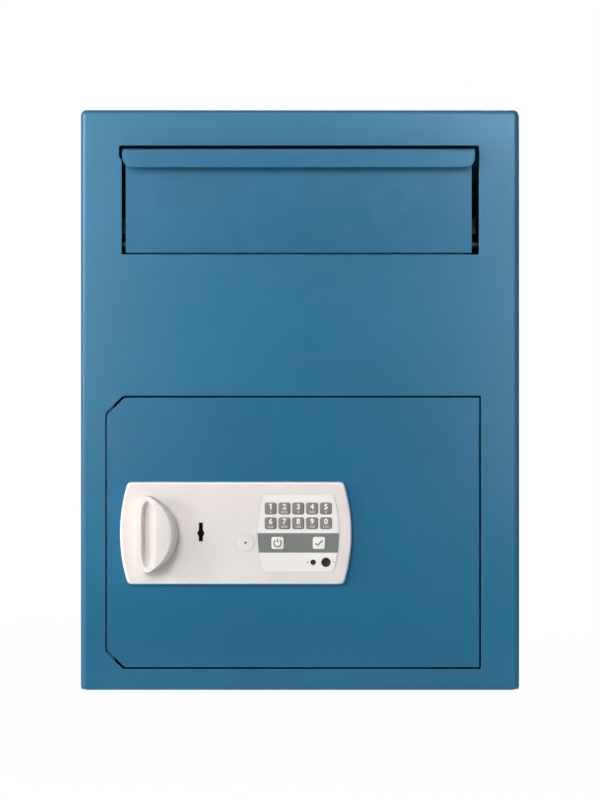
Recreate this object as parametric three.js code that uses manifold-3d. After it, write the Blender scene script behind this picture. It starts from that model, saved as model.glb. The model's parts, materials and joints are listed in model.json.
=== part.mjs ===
// Hopper deposit safe, in millimetres. +Z is up, the front faces -Y, and the origin is the centre
// of the underside. A tilting hopper sits above an inset door that hangs on concealed pivots.

import * as THREE from "three";
import { mergeVertices } from "three/addons/utils/BufferGeometryUtils.js";
import Module from "manifold-3d";

// Body
const bodyWidth = 451.5;
const bodyHeight = 597;
const bodyDepth = 400;
const bodySheet = 3;
const frontSheet = 3;
const bendRadius = 6; // outer radius of the body's folded edges
const frameReturn = 20; // depth of the front frame's folded edges
const reliefWidth = 7; // corner relief at the foot of the folded edges
const reliefHeight = 2.6;
const anchorRadius = 6.25;
const anchorSide = 70.75; // from the side wall
const anchorEnd = 90; // from the front or back wall
const anchorHeight = 330; // of the holes in the back
const seam = 0.3; // gap between pieces that are welded, pressed or laid together

// Hopper opening in the front frame
const hopperLeftMargin = 42.35;
const hopperRightMargin = 41.55;
const hopperTopMargin = 37;
const hopperOpeningHeight = 111.9;
const hopperRelief = 2.7; // the upper left corner is wider, to pass the lip
const hopperReliefFull = 11; // height of the wider part
const hopperReliefDrop = 15; // with its slanted end
const cutCorner = 1; // inner corners of the laser cut openings

// Hopper front and its bent lip
const hopperSheet = 2;
const hopperRecess = 3; // of the panel behind the frame's face
const panelLeftGap = 3.9;
const panelRightGap = 7.3;
const panelBottomGap = 1.8;
const lipTopGap = 3.7;
const lipLeftGap = 3.7; // to the wider part of the opening
const lipRightGap = 4.5;
const lipReach = 18; // from the panel to the face of the lip
const lipHeight = 19;
const lipCorner = 11;
const lipShoulder = 4.5; // below the lip's top, where the panel narrows

// Tilting bin
const tiltBack = 13; // pivot axis behind the frame's face
const tiltRise = 9.9; // pivot axis above the opening's lower edge
const tiltOpen = 50; // degrees
const binRadius = 97;
const floorSlope = 35; // degrees down to the back when closed
const floorLength = 96;
const hemDepth = 5;
const hemLean = 1.5;
const tiltPinRadius = 4;
const tiltPinHead = 2.5; // beyond the pin's radius
const tiltPinHeadThickness = 2;
const bushWall = 1.2;
const bushFlange = 1.6;
const bushFlangeThickness = 1;
const runningGap = 0.3;
const stopTabReach = 4; // overlap of a stop tab behind the frame
const stopTabRadius = 80;
const stopTabLength = 12;
const stopTabThickness = 2.5;
const stopGap = 0.6;

// Fixed guards and bearings of the hopper
const bracketSheet = 3;
const bracketGap = 2.3; // from the opening's edge to the bearing bracket
const bracketFoot = 20;
const bracketBelow = 14;
const bracketAbove = 32;
const bracketDepth = 26;
const bracketScrew = 2.6; // radius of a screw hole
const hoodGap = 6; // from the bin's edge to the hood
const hoodSheet = 2;
const hoodEnd = 18; // degrees above the horizontal where the hood ends
const hoodFlange = 20;
const combTeeth = 28;
const combNotch = 0.72; // width of a notch as a share of the pitch
const combWeb = 2; // from a notch's point to the hood's edge
const combSheet = 2;
const combBand = 12; // degrees of the comb that lie on the hood
const combDrop = 10; // degrees that the teeth reach below the hood
const restLeg = 26;
const restSheet = 3;
const restBack = 70; // along the bin's floor
const bufferRadius = 7;
const bufferHeight = 6;
const bufferChamfer = 1.5;
const bufferSide = 100; // from the side wall

// Door
const leftStile = 25.55;
const rightStile = 39.45;
const bottomRail = 21.5;
const doorOpeningHeight = 281;
const doorGap = 1.8;
const doorThickness = 6;
const doorChamfer = 18; // on the two locking side corners
const chamferRound = 3.5;
const doorCorner = 0.8; // the two square corners

// Concealed pivots of the door
const pivotInset = 20; // from the hinge edge
const pivotBack = 10; // behind the front face
const pivotRadius = 4;
const lugHeight = 24;
const lugWidth = 34;
const lugDepth = 12;
const lugEdge = 1.5; // from the door's hinge edge
const pivotStickOut = 9;
const hingePlate = 6;
const hingePlateGap = 1.5;
const hingePlateWidth = 46;
const hingeNose = 11;
const hingeRound = 7;

// Door stop behind the left edge of the door
const stopSheet = 3;
const stopOverlap = 8;
const stopFaceGap = 0.4;
const stopTail = 12; // beyond the door opening at each end
const stopLead = 1.5;

// Lock plate on the door
const lockInset = 13.1; // from the door's left edge
const lockWidth = 238.5;
const lockHeight = 105.6;
const lockDrop = 0.6; // the plate's centre below the middle of its controls
const lockBulge = 8.2;
const lockCorner = 4.5;
const lockThickness = 8;
const lockBevel = 1.8;
const lockDraft = 0.5;
const lockWall = 2.2;
const bossRadius = 3.5;
const bossInset = 14;
const bossShift = 3; // outward, of the two posts beside the keypad
const windowMargin = 3; // ledge above and below behind the keypad

// Keypad
const keypadAcross = 54.95; // centre, from the lock plate's right end
const keypadDrop = 0.4; // below the middle of the controls
const keypadWidth = 83.5;
const keypadHeight = 79.9;
const keypadBulge = 6;
const keypadCorner = 4;
const keypadSheet = 1.4;
const keypadProud = 0.6;
const keyColumns = 5;
const keyPitch = 14.2;
const keyWidth = 11.5;
const keyRows = [24.8, 9.6]; // above the lock plate's centre
const keyCorner = 2.2;
const keyGap = 0.35;
const keyProud = 1;
const keyTravel = 0.8;
const keySkirt = 0.8;
const keyFlange = 0.8; // of the skirt around the cap
const keySoft = 0.5; // chamfer of the cap
const keyPlay = 0.15;
const keyStem = 2.5;
const commandWidth = 12.8;
const commandSpread = 21.3; // each side of the keypad's centre
const commandDrop = 10.6;
const contactDrop = 30.5;
const contactRecess = 0.3; // behind the panel's face
const contactDish = 0.12; // depth as a share of the radius
const contactStem = 1.2;
const contacts = [
  ["contact_small", 15.35, 2.6],
  ["contact_large", 28.45, 4.6],
];
const boardSheet = 1.6;
const boardGap = 2; // between the door and the board
const boardMargin = 5;
const boardScrew = 1.3;

// Round cap
const capAcross = 54.25; // left of the keypad's centre
const capDrop = 10.4;
const capRadius = 9;
const capHole = 1;
const capDome = 0.8;

// Turning handle
const handleAcross = 39.1;
const handleDrop = 1.5;
const handleHalf = 39.5; // half of its height
const handleLeft = 21.1;
const handleTip = 9; // the tips lie this far left of the spindle
const handleBase = 21.5; // right edge at the foot
const handleFace = 14.7; // right edge at the front
const handleRise = 20;
const handleGap = 0.8; // above the lock plate
const grooveWidth = 14;
const grooveHalf = 34;
const grooveRim = 4; // from the left edge
const grooveFloor = 6; // height of the groove's deepest line
const handleWaist = 24.5; // half of the straight part of the left edge
const handleLeftRise = 14.8; // height of the left edge
const handleRightRise = 14; // height of the right edge
const handleSkirt = 0.2; // heights of the side wall's two bends, as shares of the rise
const handleElbow = 0.55;
const handleSkirtDraft = 1;
const crownLeft = [6, 0.86]; // pull points of the crown's two curves: from the ridge, and as a
const crownRight = [10, 0.95]; // share of the rise
const grooveHeel = [5.3, 2]; // where the groove's floor starts to climb: from the ridge, height
const grooveRound = 2; // at the foot of the groove's steep wall
const grooveNarrow = 4; // the groove's shallow side is this much shorter at each end
const grooveCorners = [5, 8];
const spindleRadius = 5;
const spindleSink = 7; // into the handle

// Bolts and their carrier
const boltRadius = 9;
const boltBack = 19.5; // axis behind the front face
const boltThrow = 16;
const boltPitch = 100;
const boltCount = 3;
const boltClear = 2.5; // withdrawn tip to the door stop
const boltNose = 2;
const guideSheet = 3;
const guideClear = 0.5;
const guideSetBack = 2; // behind the withdrawn bolt tips
const guideFoot = 14;
const carrierSheet = 4;
const carrierRun = 1; // left between the carrier and the guide when locked
const carrierTail = 17; // beyond the end bolts
const carrierArm = 98;
const carrierArmLow = 16; // below the handle's axis
const carrierArmHigh = 46; // above the handle's axis
const armSheet = 3;
const armGap = 4; // behind the cam
const rivetRadius = 5;
const studRadius = 4;
const studRise = 37.5; // above the handle's axis
const studSpots = [20.5, 54.5]; // right of the handle's axis
const studHead = 7;
const studHeadThickness = 2;
const slideClear = 0.6;

// Cam on the spindle
const handleTurn = 90; // degrees
const camSheet = 4;
const camBack = 12; // front of the cam behind the door
const camHub = 9;
const camEye = 5.5;
const camLobe = 15.5;
const camLobeHalf = 22; // degrees
const crankPin = 3;

// Solenoid that blocks the cam
const solenoidWidth = 20;
const solenoidHeight = 38;
const solenoidDrop = 22.5; // top below the handle's axis
const plungerRadius = 3.5;
const plungerClear = 2; // from the cam's lobe
const plungerSink = 26;
const collarRadius = 5;
const collarThickness = 2;

// Double bit emergency lock
const keyholeAcross = 83.4;
const keyholeDrop = 0.6;
const slotWidth = 4.3;
const slotRise = 11; // above the keyhole's centre
const slotFall = 8.4;
const slotRound = 3.6;
const barrelRadius = 12;
const barrelGap = 0.4;
const caseWidth = 44;
const caseHeight = 56;
const caseDepth = 17.5;
const caseCorner = 4;
const releaseHeight = 7;
const releaseSheet = 3;
const releaseLength = 22;
const releaseOut = 10;
const releaseBack = 7; // front of the slide behind the door

// Cover of the boltwork
const coverSheet = 1.5;
const coverDepth = 36; // of the space behind the door
const coverEnd = 11; // from the door's top and bottom edges
const coverHingeGap = 44; // from the door's hinge edge
const packCells = 4;
const cellRadius = 7.25;
const cellLength = 52;
const packAcross = 65; // centre, left of the cover's right wall
const packRise = 56; // centre, above the cover's lower wall
const lidMargin = 7;
const lidSheet = 2;
const lidGrip = 6; // pitch of the grip grooves
const lidGripHalf = 14;
const lidGripDepth = 0.8;

const wasm = await Module();
wasm.setup();

const degrees = Math.PI / 180;
const past = 1; // what a cutter runs past a face

// A closed three.js geometry as a solid for joining and cutting.
function solid(geometry) {
  const plain = geometry.clone();
  plain.deleteAttribute("normal");
  plain.deleteAttribute("uv");
  const merged = mergeVertices(plain, 1e-4);
  return new wasm.Manifold(
    new wasm.Mesh({
      numProp: 3,
      vertProperties: new Float32Array(merged.attributes.position.array),
      triVerts: new Uint32Array(merged.index.array),
    }),
  );
}

function join(...pieces) {
  return pieces.map(solid).reduce((a, b) => a.add(b));
}

function cut(body, ...tools) {
  const start = body instanceof THREE.BufferGeometry ? solid(body) : body;
  return tools.map(solid).reduce((a, b) => a.subtract(b), start);
}

function geometryOf(piece) {
  if (piece instanceof THREE.BufferGeometry) return piece;
  const mesh = piece.getMesh();
  const geometry = new THREE.BufferGeometry();
  const corners = new Float32Array(mesh.vertProperties);
  geometry.setAttribute("position", new THREE.BufferAttribute(corners, 3));
  geometry.setIndex(new THREE.BufferAttribute(new Uint32Array(mesh.triVerts), 1));
  geometry.computeVertexNormals();
  return geometry;
}

// An outline whose corners are [across, up, fillet radius].
function outline(corners) {
  const count = corners.length;
  const points = corners.flatMap(([px, py, radius = 0], i) => {
    const p = new THREE.Vector2(px, py);
    const [ax, ay] = corners[(i + count - 1) % count];
    const [bx, by] = corners[(i + 1) % count];
    const toBefore = new THREE.Vector2(ax, ay).sub(p).normalize();
    const toAfter = new THREE.Vector2(bx, by).sub(p).normalize();
    if (!radius) return [p];
    const half = Math.acos(toBefore.dot(toAfter)) / 2;
    const start = p.clone().addScaledVector(toBefore, radius / Math.tan(half));
    const end = p.clone().addScaledVector(toAfter, radius / Math.tan(half));
    const bisector = toBefore.clone().add(toAfter).normalize();
    const centre = p.clone().addScaledVector(bisector, radius / Math.sin(half));
    const from = start.clone().sub(centre).angle();
    const to = end.clone().sub(centre).angle();
    const turn = ((to - from + 3 * Math.PI) % (2 * Math.PI)) - Math.PI;
    const steps = Math.min(6, 2 + Math.round(radius / 3));
    return Array.from({ length: steps + 1 }, (_, k) => {
      const a = from + (turn * k) / steps;
      return new THREE.Vector2(Math.cos(a), Math.sin(a)).multiplyScalar(radius).add(centre);
    });
  });
  return new THREE.Shape(points);
}

function rectangle(left, right, low, high, radius = 0) {
  return outline([
    [left, low, radius],
    [right, low, radius],
    [right, high, radius],
    [left, high, radius],
  ]);
}

function circle(x, y, radius) {
  const sides = Math.min(28, 12 + 2 * Math.round(radius / 2));
  const points = Array.from({ length: sides }, (_, i) => {
    const a = (2 * Math.PI * i) / sides;
    return new THREE.Vector2(x + radius * Math.cos(a), y + radius * Math.sin(a));
  });
  return new THREE.Shape(points);
}

// A slot with round ends between two centres on one level.
function slot(x0, x1, y, radius) {
  return rectangle(x0 - radius, x1 + radius, y - radius, y + radius, radius * 0.999);
}

function extrude(shape, depth, segments) {
  return new THREE.ExtrudeGeometry(shape, {
    depth,
    bevelEnabled: false,
    curveSegments: segments,
  });
}

// A plate that faces -Y: its outline is drawn in X and Z, and y0 is its front.
function facing(shape, y0, thickness, segments = 5) {
  return extrude(shape, thickness, segments)
    .rotateX(Math.PI / 2)
    .translate(0, y0 + thickness, 0);
}

// A plate that faces X: its outline is drawn in Y and Z, and x0 is its left side.
function sideways(shape, x0, thickness, segments = 5) {
  const turn = new THREE.Matrix4().makeBasis(
    new THREE.Vector3(0, 1, 0),
    new THREE.Vector3(0, 0, 1),
    new THREE.Vector3(1, 0, 0),
  );
  return extrude(shape, thickness, segments).applyMatrix4(turn).translate(x0, 0, 0);
}

// A plate that lies level: its outline is drawn in X and Y, and z0 is its underside.
function level(shape, z0, thickness, segments = 5) {
  return extrude(shape, thickness, segments).translate(0, 0, z0);
}

function box(x0, x1, y0, y1, z0, z1) {
  return new THREE.BoxGeometry(x1 - x0, y1 - y0, z1 - z0).translate(
    (x0 + x1) / 2,
    (y0 + y1) / 2,
    (z0 + z1) / 2,
  );
}

// A turned piece from a closed profile of [radius, height], with its axis along +Y, +X or +Z.
function turned(profile, axis, segments = 24) {
  const points = profile.map(([r, h]) => new THREE.Vector2(r, h));
  const geometry = new THREE.LatheGeometry(points, segments);
  if (axis === "x") geometry.rotateZ(-Math.PI / 2);
  if (axis === "z") geometry.rotateX(Math.PI / 2);
  return geometry;
}

function rod(radius, from, to, axis, segments = 24) {
  const profile = [
    [0, from],
    [radius, from],
    [radius, to],
    [0, to],
  ];
  return turned(profile, axis, segments);
}

// A solid skinned over rings of equal point counts, closed by a fan at each end.
function loft(rings) {
  const count = rings[0].length;
  const centreOf = (ring) =>
    ring.reduce((sum, p) => sum.add(p), new THREE.Vector3()).divideScalar(count);
  const points = [...rings.flat(), centreOf(rings[0]), centreOf(rings.at(-1))];
  const firstCentre = rings.length * count;
  const index = [];
  for (let i = 0; i < count; i += 1) {
    const next = (i + 1) % count;
    for (let r = 0; r < rings.length - 1; r += 1) {
      const a = r * count + i;
      const b = r * count + next;
      index.push(a, b, a + count, b, b + count, a + count);
    }
    const last = (rings.length - 1) * count;
    index.push(firstCentre, next, i, firstCentre + 1, last + i, last + next);
  }
  const volume = index.reduce((sum, _, k) => {
    if (k % 3) return sum;
    const [a, b, c] = [points[index[k]], points[index[k + 1]], points[index[k + 2]]];
    return sum + a.dot(b.clone().cross(c));
  }, 0);
  if (volume < 0) index.reverse();
  const geometry = new THREE.BufferGeometry().setFromPoints(points);
  geometry.setIndex(index);
  geometry.computeVertexNormals();
  return geometry;
}

// Materials
function finish(color, roughness, metalness) {
  return new THREE.MeshStandardMaterial({ color, roughness, metalness });
}
const bluePaint = finish(0x2e6c8d, 0.5, 0);
const doorPaint = finish(0x2a678a, 0.5, 0);
const coverPaint = finish(0x2b2b2c, 0.5, 0);
const zinc = finish(0xb9bcc0, 0.35, 0.9);
const steel = finish(0xd2d4d6, 0.25, 1);
const darkSteel = finish(0x333231, 0.5, 0.9);
const warmPlastic = finish(0xe8e2dc, 0.45, 0);
const greyPlastic = finish(0x7c7976, 0.55, 0);
const blackPlastic = finish(0x1d1b1a, 0.5, 0);
const rubber = finish(0x24211f, 0.9, 0);
const boardGreen = finish(0x1f5a35, 0.5, 0);
const packBlue = finish(0x2c3c55, 0.4, 0);

const safe = new THREE.Group();

function add(name, piece, material, group = safe) {
  const mesh = new THREE.Mesh(geometryOf(piece), material.clone());
  mesh.name = name;
  group.add(mesh);
  return mesh;
}

// Planes that the pieces share
const half = bodyWidth / 2;
const front = -bodyDepth / 2;
const back = bodyDepth / 2;
const innerSide = half - bodySheet;
const frameBack = front + frontSheet;

const hopperLeft = -half + hopperLeftMargin;
const hopperRight = half - hopperRightMargin;
const hopperTop = bodyHeight - hopperTopMargin;
const hopperBottom = hopperTop - hopperOpeningHeight;

const openingLeft = -half + leftStile;
const openingRight = half - rightStile;
const openingTop = bottomRail + doorOpeningHeight;
const doorLeft = openingLeft + doorGap;
const doorRight = openingRight - doorGap;
const doorLow = bottomRail + doorGap;
const doorHigh = openingTop - doorGap;
const doorBack = front + doorThickness;
const onDoor = doorBack + seam; // front of what is fixed to the door's back

const tiltY = front + tiltBack;
const tiltZ = hopperBottom + tiltRise;
const pivotX = doorRight - pivotInset;
const pivotY = front + pivotBack;

const lockX = doorLeft + lockInset;
const lockZ = (doorLow + doorHigh) / 2;
const lockFace = front - lockThickness;
const lockBack = front - seam;
const handleX = lockX + handleAcross;
const handleZ = lockZ - handleDrop;
const keyholeX = lockX + keyholeAcross;
const keyholeZ = lockZ - keyholeDrop;
const keypadX = lockX + lockWidth - keypadAcross;
const keypadZ = lockZ - keypadDrop;
const capX = keypadX - capAcross;
const capZ = lockZ - capDrop;

// Points of a quarter or longer arc, as [across, up] pairs.
function arc(cx, cy, radius, from, to, steps) {
  return Array.from({ length: steps + 1 }, (_, i) => {
    const a = (from + ((to - from) * i) / steps) * degrees;
    return [cx + radius * Math.cos(a), cy + radius * Math.sin(a)];
  });
}

// One ring of the front pan: drawn in by inset at the sides and top, at depth y.
function panRing(inset, y, bottom) {
  const side = half - inset;
  const top = bodyHeight - inset;
  const r = Math.max(bendRadius - inset, 0.4);
  return [
    [-side, bottom],
    [side, bottom],
    ...arc(side - r, top - r, r, 0, 90, 4),
    ...arc(-side + r, top - r, r, 90, 180, 4),
  ].map(([x, z]) => new THREE.Vector3(x, y, z));
}

function panSkin(offset, bottom, end) {
  const r = bendRadius - offset;
  const bend = arc(0, 0, r, 0, 90, 4).map(([c, s]) =>
    panRing(offset + r - s, front + offset + r - c, bottom),
  );
  return loft([...bend, panRing(offset, end, bottom)]);
}

function hopperHole() {
  const wide = hopperLeft - hopperRelief;
  return outline([
    [hopperLeft, hopperBottom, cutCorner],
    [hopperRight, hopperBottom, cutCorner],
    [hopperRight, hopperTop, cutCorner],
    [wide, hopperTop, cutCorner],
    [wide, hopperTop - hopperReliefFull],
    [hopperLeft, hopperTop - hopperReliefDrop],
  ]);
}

function doorOutline(left, right, low, high) {
  return outline([
    [left + doorChamfer, low, chamferRound],
    [right, low, doorCorner],
    [right, high, doorCorner],
    [left + doorChamfer, high, chamferRound],
    [left, high - doorChamfer, chamferRound],
    [left, low + doorChamfer, chamferRound],
  ]);
}

function frontFrame() {
  const pan = panSkin(0, 0, front + frameReturn);
  const hollow = panSkin(frontSheet, -past, front + frameReturn + past);
  const doorHole = doorOutline(openingLeft, openingRight, bottomRail, openingTop);
  const relief = (side) =>
    outline([
      [side * (half + past), -past],
      [side * (half - reliefWidth), -past],
      [side * (half - reliefWidth), 0],
      [side * half, reliefHeight],
      [side * (half + past), reliefHeight],
    ]);
  const through = frontSheet + 2 * past;
  return cut(
    pan,
    hollow,
    facing(hopperHole(), front - past, through),
    facing(doorHole, front - past, through),
    facing(relief(1), front - past, frameReturn + 2 * past),
    facing(relief(-1), front - past, frameReturn + 2 * past),
  );
}

// The sides and top are one folded sheet, open below.
function bodyWrap() {
  const inner = bendRadius - bodySheet;
  const shape = outline([
    [-half, 0],
    [-half, bodyHeight, bendRadius],
    [half, bodyHeight, bendRadius],
    [half, 0],
    [innerSide, 0],
    [innerSide, bodyHeight - bodySheet, inner],
    [-innerSide, bodyHeight - bodySheet, inner],
    [-innerSide, 0],
  ]);
  const start = front + frameReturn + seam;
  return facing(shape, start, back - start, 4);
}

function basePlate() {
  const side = innerSide - seam;
  const rear = back - bodySheet - seam;
  const shape = outline([
    [-side, frameBack + seam, bendRadius],
    [side, frameBack + seam, bendRadius],
    [side, rear],
    [-side, rear],
  ]);
  for (const x of [-innerSide + anchorSide, innerSide - anchorSide])
    for (const y of [front + anchorEnd, back - anchorEnd])
      shape.holes.push(circle(x, y, anchorRadius));
  return level(shape, 0, bodySheet, 16);
}

function backPlate() {
  const side = innerSide - seam;
  const top = bodyHeight - bodySheet - seam;
  const shape = outline([
    [-side, 0],
    [side, 0],
    [side, top, bendRadius],
    [-side, top, bendRadius],
  ]);
  for (const x of [-innerSide + anchorSide, innerSide - anchorSide])
    shape.holes.push(circle(x, anchorHeight, anchorRadius));
  return facing(shape, back - bodySheet, bodySheet, 16);
}

add("front_frame", frontFrame(), bluePaint);
add("body_wrap", bodyWrap(), bluePaint);
add("base_plate", basePlate(), bluePaint);
add("back_plate", backPlate(), bluePaint);

// Hopper front: a panel whose top is bent out and down into a pull lip.
const panelLeft = hopperLeft + panelLeftGap;
const panelRight = hopperRight - panelRightGap;
const panelFace = front + hopperRecess;
const panelBack = panelFace + hopperSheet;
const panelLow = hopperBottom + panelBottomGap;
const lipTop = hopperTop - lipTopGap;
const lipLeft = hopperLeft - hopperRelief + lipLeftGap;
const lipRight = hopperRight - lipRightGap;
const lipFace = panelFace - lipReach;

function hopperFront() {
  const bend = hopperSheet * 1.5;
  const section = outline([
    [panelFace, panelLow],
    [panelBack, panelLow],
    [panelBack, lipTop, bend],
    [lipFace, lipTop, bend],
    [lipFace, lipTop - lipHeight],
    [lipFace + hopperSheet, lipTop - lipHeight],
    [lipFace + hopperSheet, lipTop - hopperSheet, bend - hopperSheet],
    [panelFace, lipTop - hopperSheet, bend - hopperSheet],
  ]);
  const folded = sideways(section, lipLeft, lipRight - lipLeft, 4);
  const narrow = panelFace - past;
  const wide = lipTop - lipShoulder;
  const sideCuts = [
    box(lipLeft - past, panelLeft, narrow, panelBack + past, panelLow - past, wide),
    box(panelRight, lipRight + past, narrow, panelBack + past, panelLow - past, wide),
  ];
  const corners = [-1, 1].map((side) => {
    const edge = side < 0 ? lipLeft : lipRight;
    const foot = lipTop - lipHeight;
    const inner = edge - side * lipCorner;
    const shape = new THREE.Shape();
    shape.moveTo(edge + side * past, foot - past);
    shape.lineTo(inner, foot - past);
    shape.lineTo(inner, foot);
    shape.quadraticCurveTo(edge, foot, edge, foot + lipCorner);
    shape.lineTo(edge + side * past, foot + lipCorner);
    shape.closePath();
    return facing(shape, lipFace - past, hopperSheet + 2 * past, 6);
  });
  return cut(folded, ...sideCuts, ...corners);
}

// Tilting bin: a sloping floor folded up at both sides into round cheeks.
const slope = -floorSlope * degrees;
const along = new THREE.Vector2(Math.cos(slope), Math.sin(slope));
const under = new THREE.Vector2(Math.sin(slope), -Math.cos(slope));
const floorStart = new THREE.Vector2(panelBack + seam, panelLow + hopperSheet + seam);
const onFloor = (run, depth) =>
  floorStart.clone().addScaledVector(along, run).addScaledVector(under, depth);

function cheekOutline() {
  const shape = new THREE.Shape();
  const foot = panelBack + seam;
  const rise = Math.acos((foot - tiltY) / binRadius);
  const tail = onFloor(floorLength, hopperSheet);
  const low = Math.atan2(tail.y - tiltZ, tail.x - tiltY);
  shape.moveTo(foot, panelLow + seam);
  shape.lineTo(foot, tiltZ + binRadius * Math.sin(rise));
  shape.absarc(tiltY, tiltZ, binRadius, rise, low, true);
  shape.lineTo(tail.x, tail.y);
  shape.closePath();
  return shape;
}

function tiltHole(radius) {
  return rod(radius, -half, half, "x", 20).translate(0, tiltY, tiltZ);
}

// A stop tab, set out in the open pose against the frame's back and turned to the closed one.
function stopTab(side) {
  const cheek = side < 0 ? panelLeft : panelRight;
  const edge = side < 0 ? hopperLeft : hopperRight;
  const inner = cheek - side * hopperSheet;
  const outer = edge + side * stopTabReach;
  const face = frameBack + stopGap - tiltY;
  return box(
    Math.min(inner, outer),
    Math.max(inner, outer),
    face,
    face + stopTabThickness,
    stopTabRadius - stopTabLength / 2,
    stopTabRadius + stopTabLength / 2,
  )
    .rotateX(-tiltOpen * degrees)
    .translate(0, tiltY, tiltZ);
}

function hopperBin() {
  const floor = outline([
    onFloor(0, 0).toArray(),
    onFloor(floorLength, 0).toArray(),
    onFloor(floorLength - hemLean, hemDepth).toArray(),
    onFloor(floorLength - hopperSheet - hemLean, hemDepth).toArray(),
    onFloor(floorLength - hopperSheet, hopperSheet).toArray(),
    onFloor(hopperSheet, hopperSheet).toArray(),
  ]);
  const bin = join(
    sideways(cheekOutline(), panelLeft, hopperSheet, 20),
    sideways(cheekOutline(), panelRight - hopperSheet, hopperSheet, 20),
    sideways(floor, panelLeft + hopperSheet / 2, panelRight - panelLeft - hopperSheet),
    stopTab(-1),
    stopTab(1),
  );
  return cut(bin, tiltHole(tiltPinRadius + runningGap + bushWall + seam));
}

// A flanged bush in a cheek and the fixed pin on which it turns, for one side.
function tiltBush(side) {
  const inner = (side < 0 ? panelLeft : panelRight) - side * hopperSheet;
  const bore = tiltPinRadius + runningGap;
  const flange = bore + bushWall + bushFlange;
  const seat = seam + hopperSheet + seam;
  const profile = [
    [bore, -seam - bushFlangeThickness],
    [flange, -seam - bushFlangeThickness],
    [flange, -seam],
    [bore + bushWall, -seam],
    [bore + bushWall, seat + bushFlangeThickness],
    [bore, seat + bushFlangeThickness],
    [bore, -seam - bushFlangeThickness],
  ];
  const bush = turned(profile, "x", 20);
  if (side < 0) bush.rotateZ(Math.PI);
  return bush.translate(inner, tiltY, tiltZ);
}

const bracketAt = (side) => (side < 0 ? hopperLeft : hopperRight) + side * bracketGap;

function tiltPin(side) {
  const inner = (side < 0 ? panelLeft : panelRight) - side * hopperSheet;
  const headAt = -2 * seam - bushFlangeThickness;
  const headRadius = tiltPinRadius + tiltPinHead;
  const end = Math.abs(bracketAt(side) - inner) + bracketSheet + bushFlangeThickness;
  const profile = [
    [0, headAt - tiltPinHeadThickness],
    [headRadius - 0.5, headAt - tiltPinHeadThickness],
    [headRadius, headAt - tiltPinHeadThickness / 2],
    [headRadius, headAt],
    [tiltPinRadius, headAt],
    [tiltPinRadius, end - 1],
    [tiltPinRadius - 1, end],
    [0, end],
  ];
  const pin = turned(profile, "x", 20);
  if (side < 0) pin.rotateZ(Math.PI);
  return pin.translate(inner, tiltY, tiltZ);
}

// A bearing bracket: an upright ear with a foot folded out flat behind the frame.
function tiltBracket(side) {
  const ear = outline([
    [frameBack + seam, tiltZ - bracketBelow],
    [tiltY + bracketDepth * 0.4, tiltZ - bracketBelow, 6],
    [frameBack + seam + bracketDepth, tiltZ, 10],
    [frameBack + seam + bracketDepth * 0.5, tiltZ + bracketAbove, 6],
    [frameBack + seam, tiltZ + bracketAbove],
  ]);
  const near = bracketAt(side);
  const far = near + side * bracketSheet;
  const toe = far + side * bracketFoot;
  const [left, right] = [Math.min(near, toe), Math.max(near, toe)];
  const foot = rectangle(left, right, tiltZ - bracketBelow, tiltZ + bracketAbove, 1.5);
  const piece = join(
    sideways(ear, Math.min(near, far), bracketSheet),
    facing(foot, frameBack + seam, bracketSheet),
  );
  const screw = (z) =>
    rod(bracketScrew, frameBack - past, frameBack + 2 * bracketSheet, "y", 12).translate(
      far + (side * bracketFoot) / 2,
      0,
      z,
    );
  return cut(
    piece,
    tiltHole(tiltPinRadius + seam),
    screw(tiltZ - bracketBelow / 2),
    screw(tiltZ + bracketAbove * 0.75),
  );
}

// The hood is rolled about the pivot axis, so that the open bin closes on it.
const hoodInner = binRadius + hoodGap;
const hoodOuter = hoodInner + hoodSheet;
const hoodFace = frameBack + seam;

function hopperHood() {
  const top = Math.acos((hoodFace + hoodSheet - tiltY) / hoodOuter) / degrees;
  const shape = new THREE.Shape();
  const start = arc(tiltY, tiltZ, hoodInner, hoodEnd, top, 14);
  const outer = arc(tiltY, tiltZ, hoodOuter, top, hoodEnd, 14);
  const flangeTop = tiltZ + hoodOuter + hoodFlange;
  const points = [
    ...start,
    [hoodFace, start.at(-1)[1] + hoodSheet / 2],
    [hoodFace, flangeTop],
    [hoodFace + hoodSheet, flangeTop],
    ...outer,
  ];
  shape.setFromPoints(points.map(([y, z]) => new THREE.Vector2(y, z)));
  const side = half - bendRadius - seam;
  return sideways(shape, -side, 2 * side);
}

// A saw-toothed strip that follows the hood's curve and reaches below its edge.
function antiFishingComb() {
  const inner = hoodOuter + seam;
  const outer = inner + combSheet;
  const low = hoodEnd - combDrop;
  const high = hoodEnd + combBand;
  const section = [
    ...arc(tiltY, tiltZ, inner, low, high, 5),
    ...arc(tiltY, tiltZ, outer, high, low, 5),
  ];
  const shape = new THREE.Shape(section.map(([y, z]) => new THREE.Vector2(y, z)));
  const left = hopperLeft - hopperRelief;
  const width = hopperRight - left;
  const pitch = width / combTeeth;
  const tipZ = tiltZ + inner * Math.sin(low * degrees);
  const rootZ = tiltZ + inner * Math.sin(hoodEnd * degrees);
  const notches = Array.from({ length: combTeeth - 1 }, (_, i) => {
    const x = left + pitch * (i + 1);
    const notch = outline([
      [x - (pitch * combNotch) / 2, tipZ - past],
      [x + (pitch * combNotch) / 2, tipZ - past],
      [x, rootZ - combWeb],
    ]);
    return facing(notch, tiltY, outer + past);
  });
  return cut(sideways(shape, left, width), ...notches);
}

// The closed bin rests through two rubber buffers on a folded bar across the body.
const bufferTop = hopperSheet + seam;
const restTop = bufferTop + bufferHeight + seam;

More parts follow.
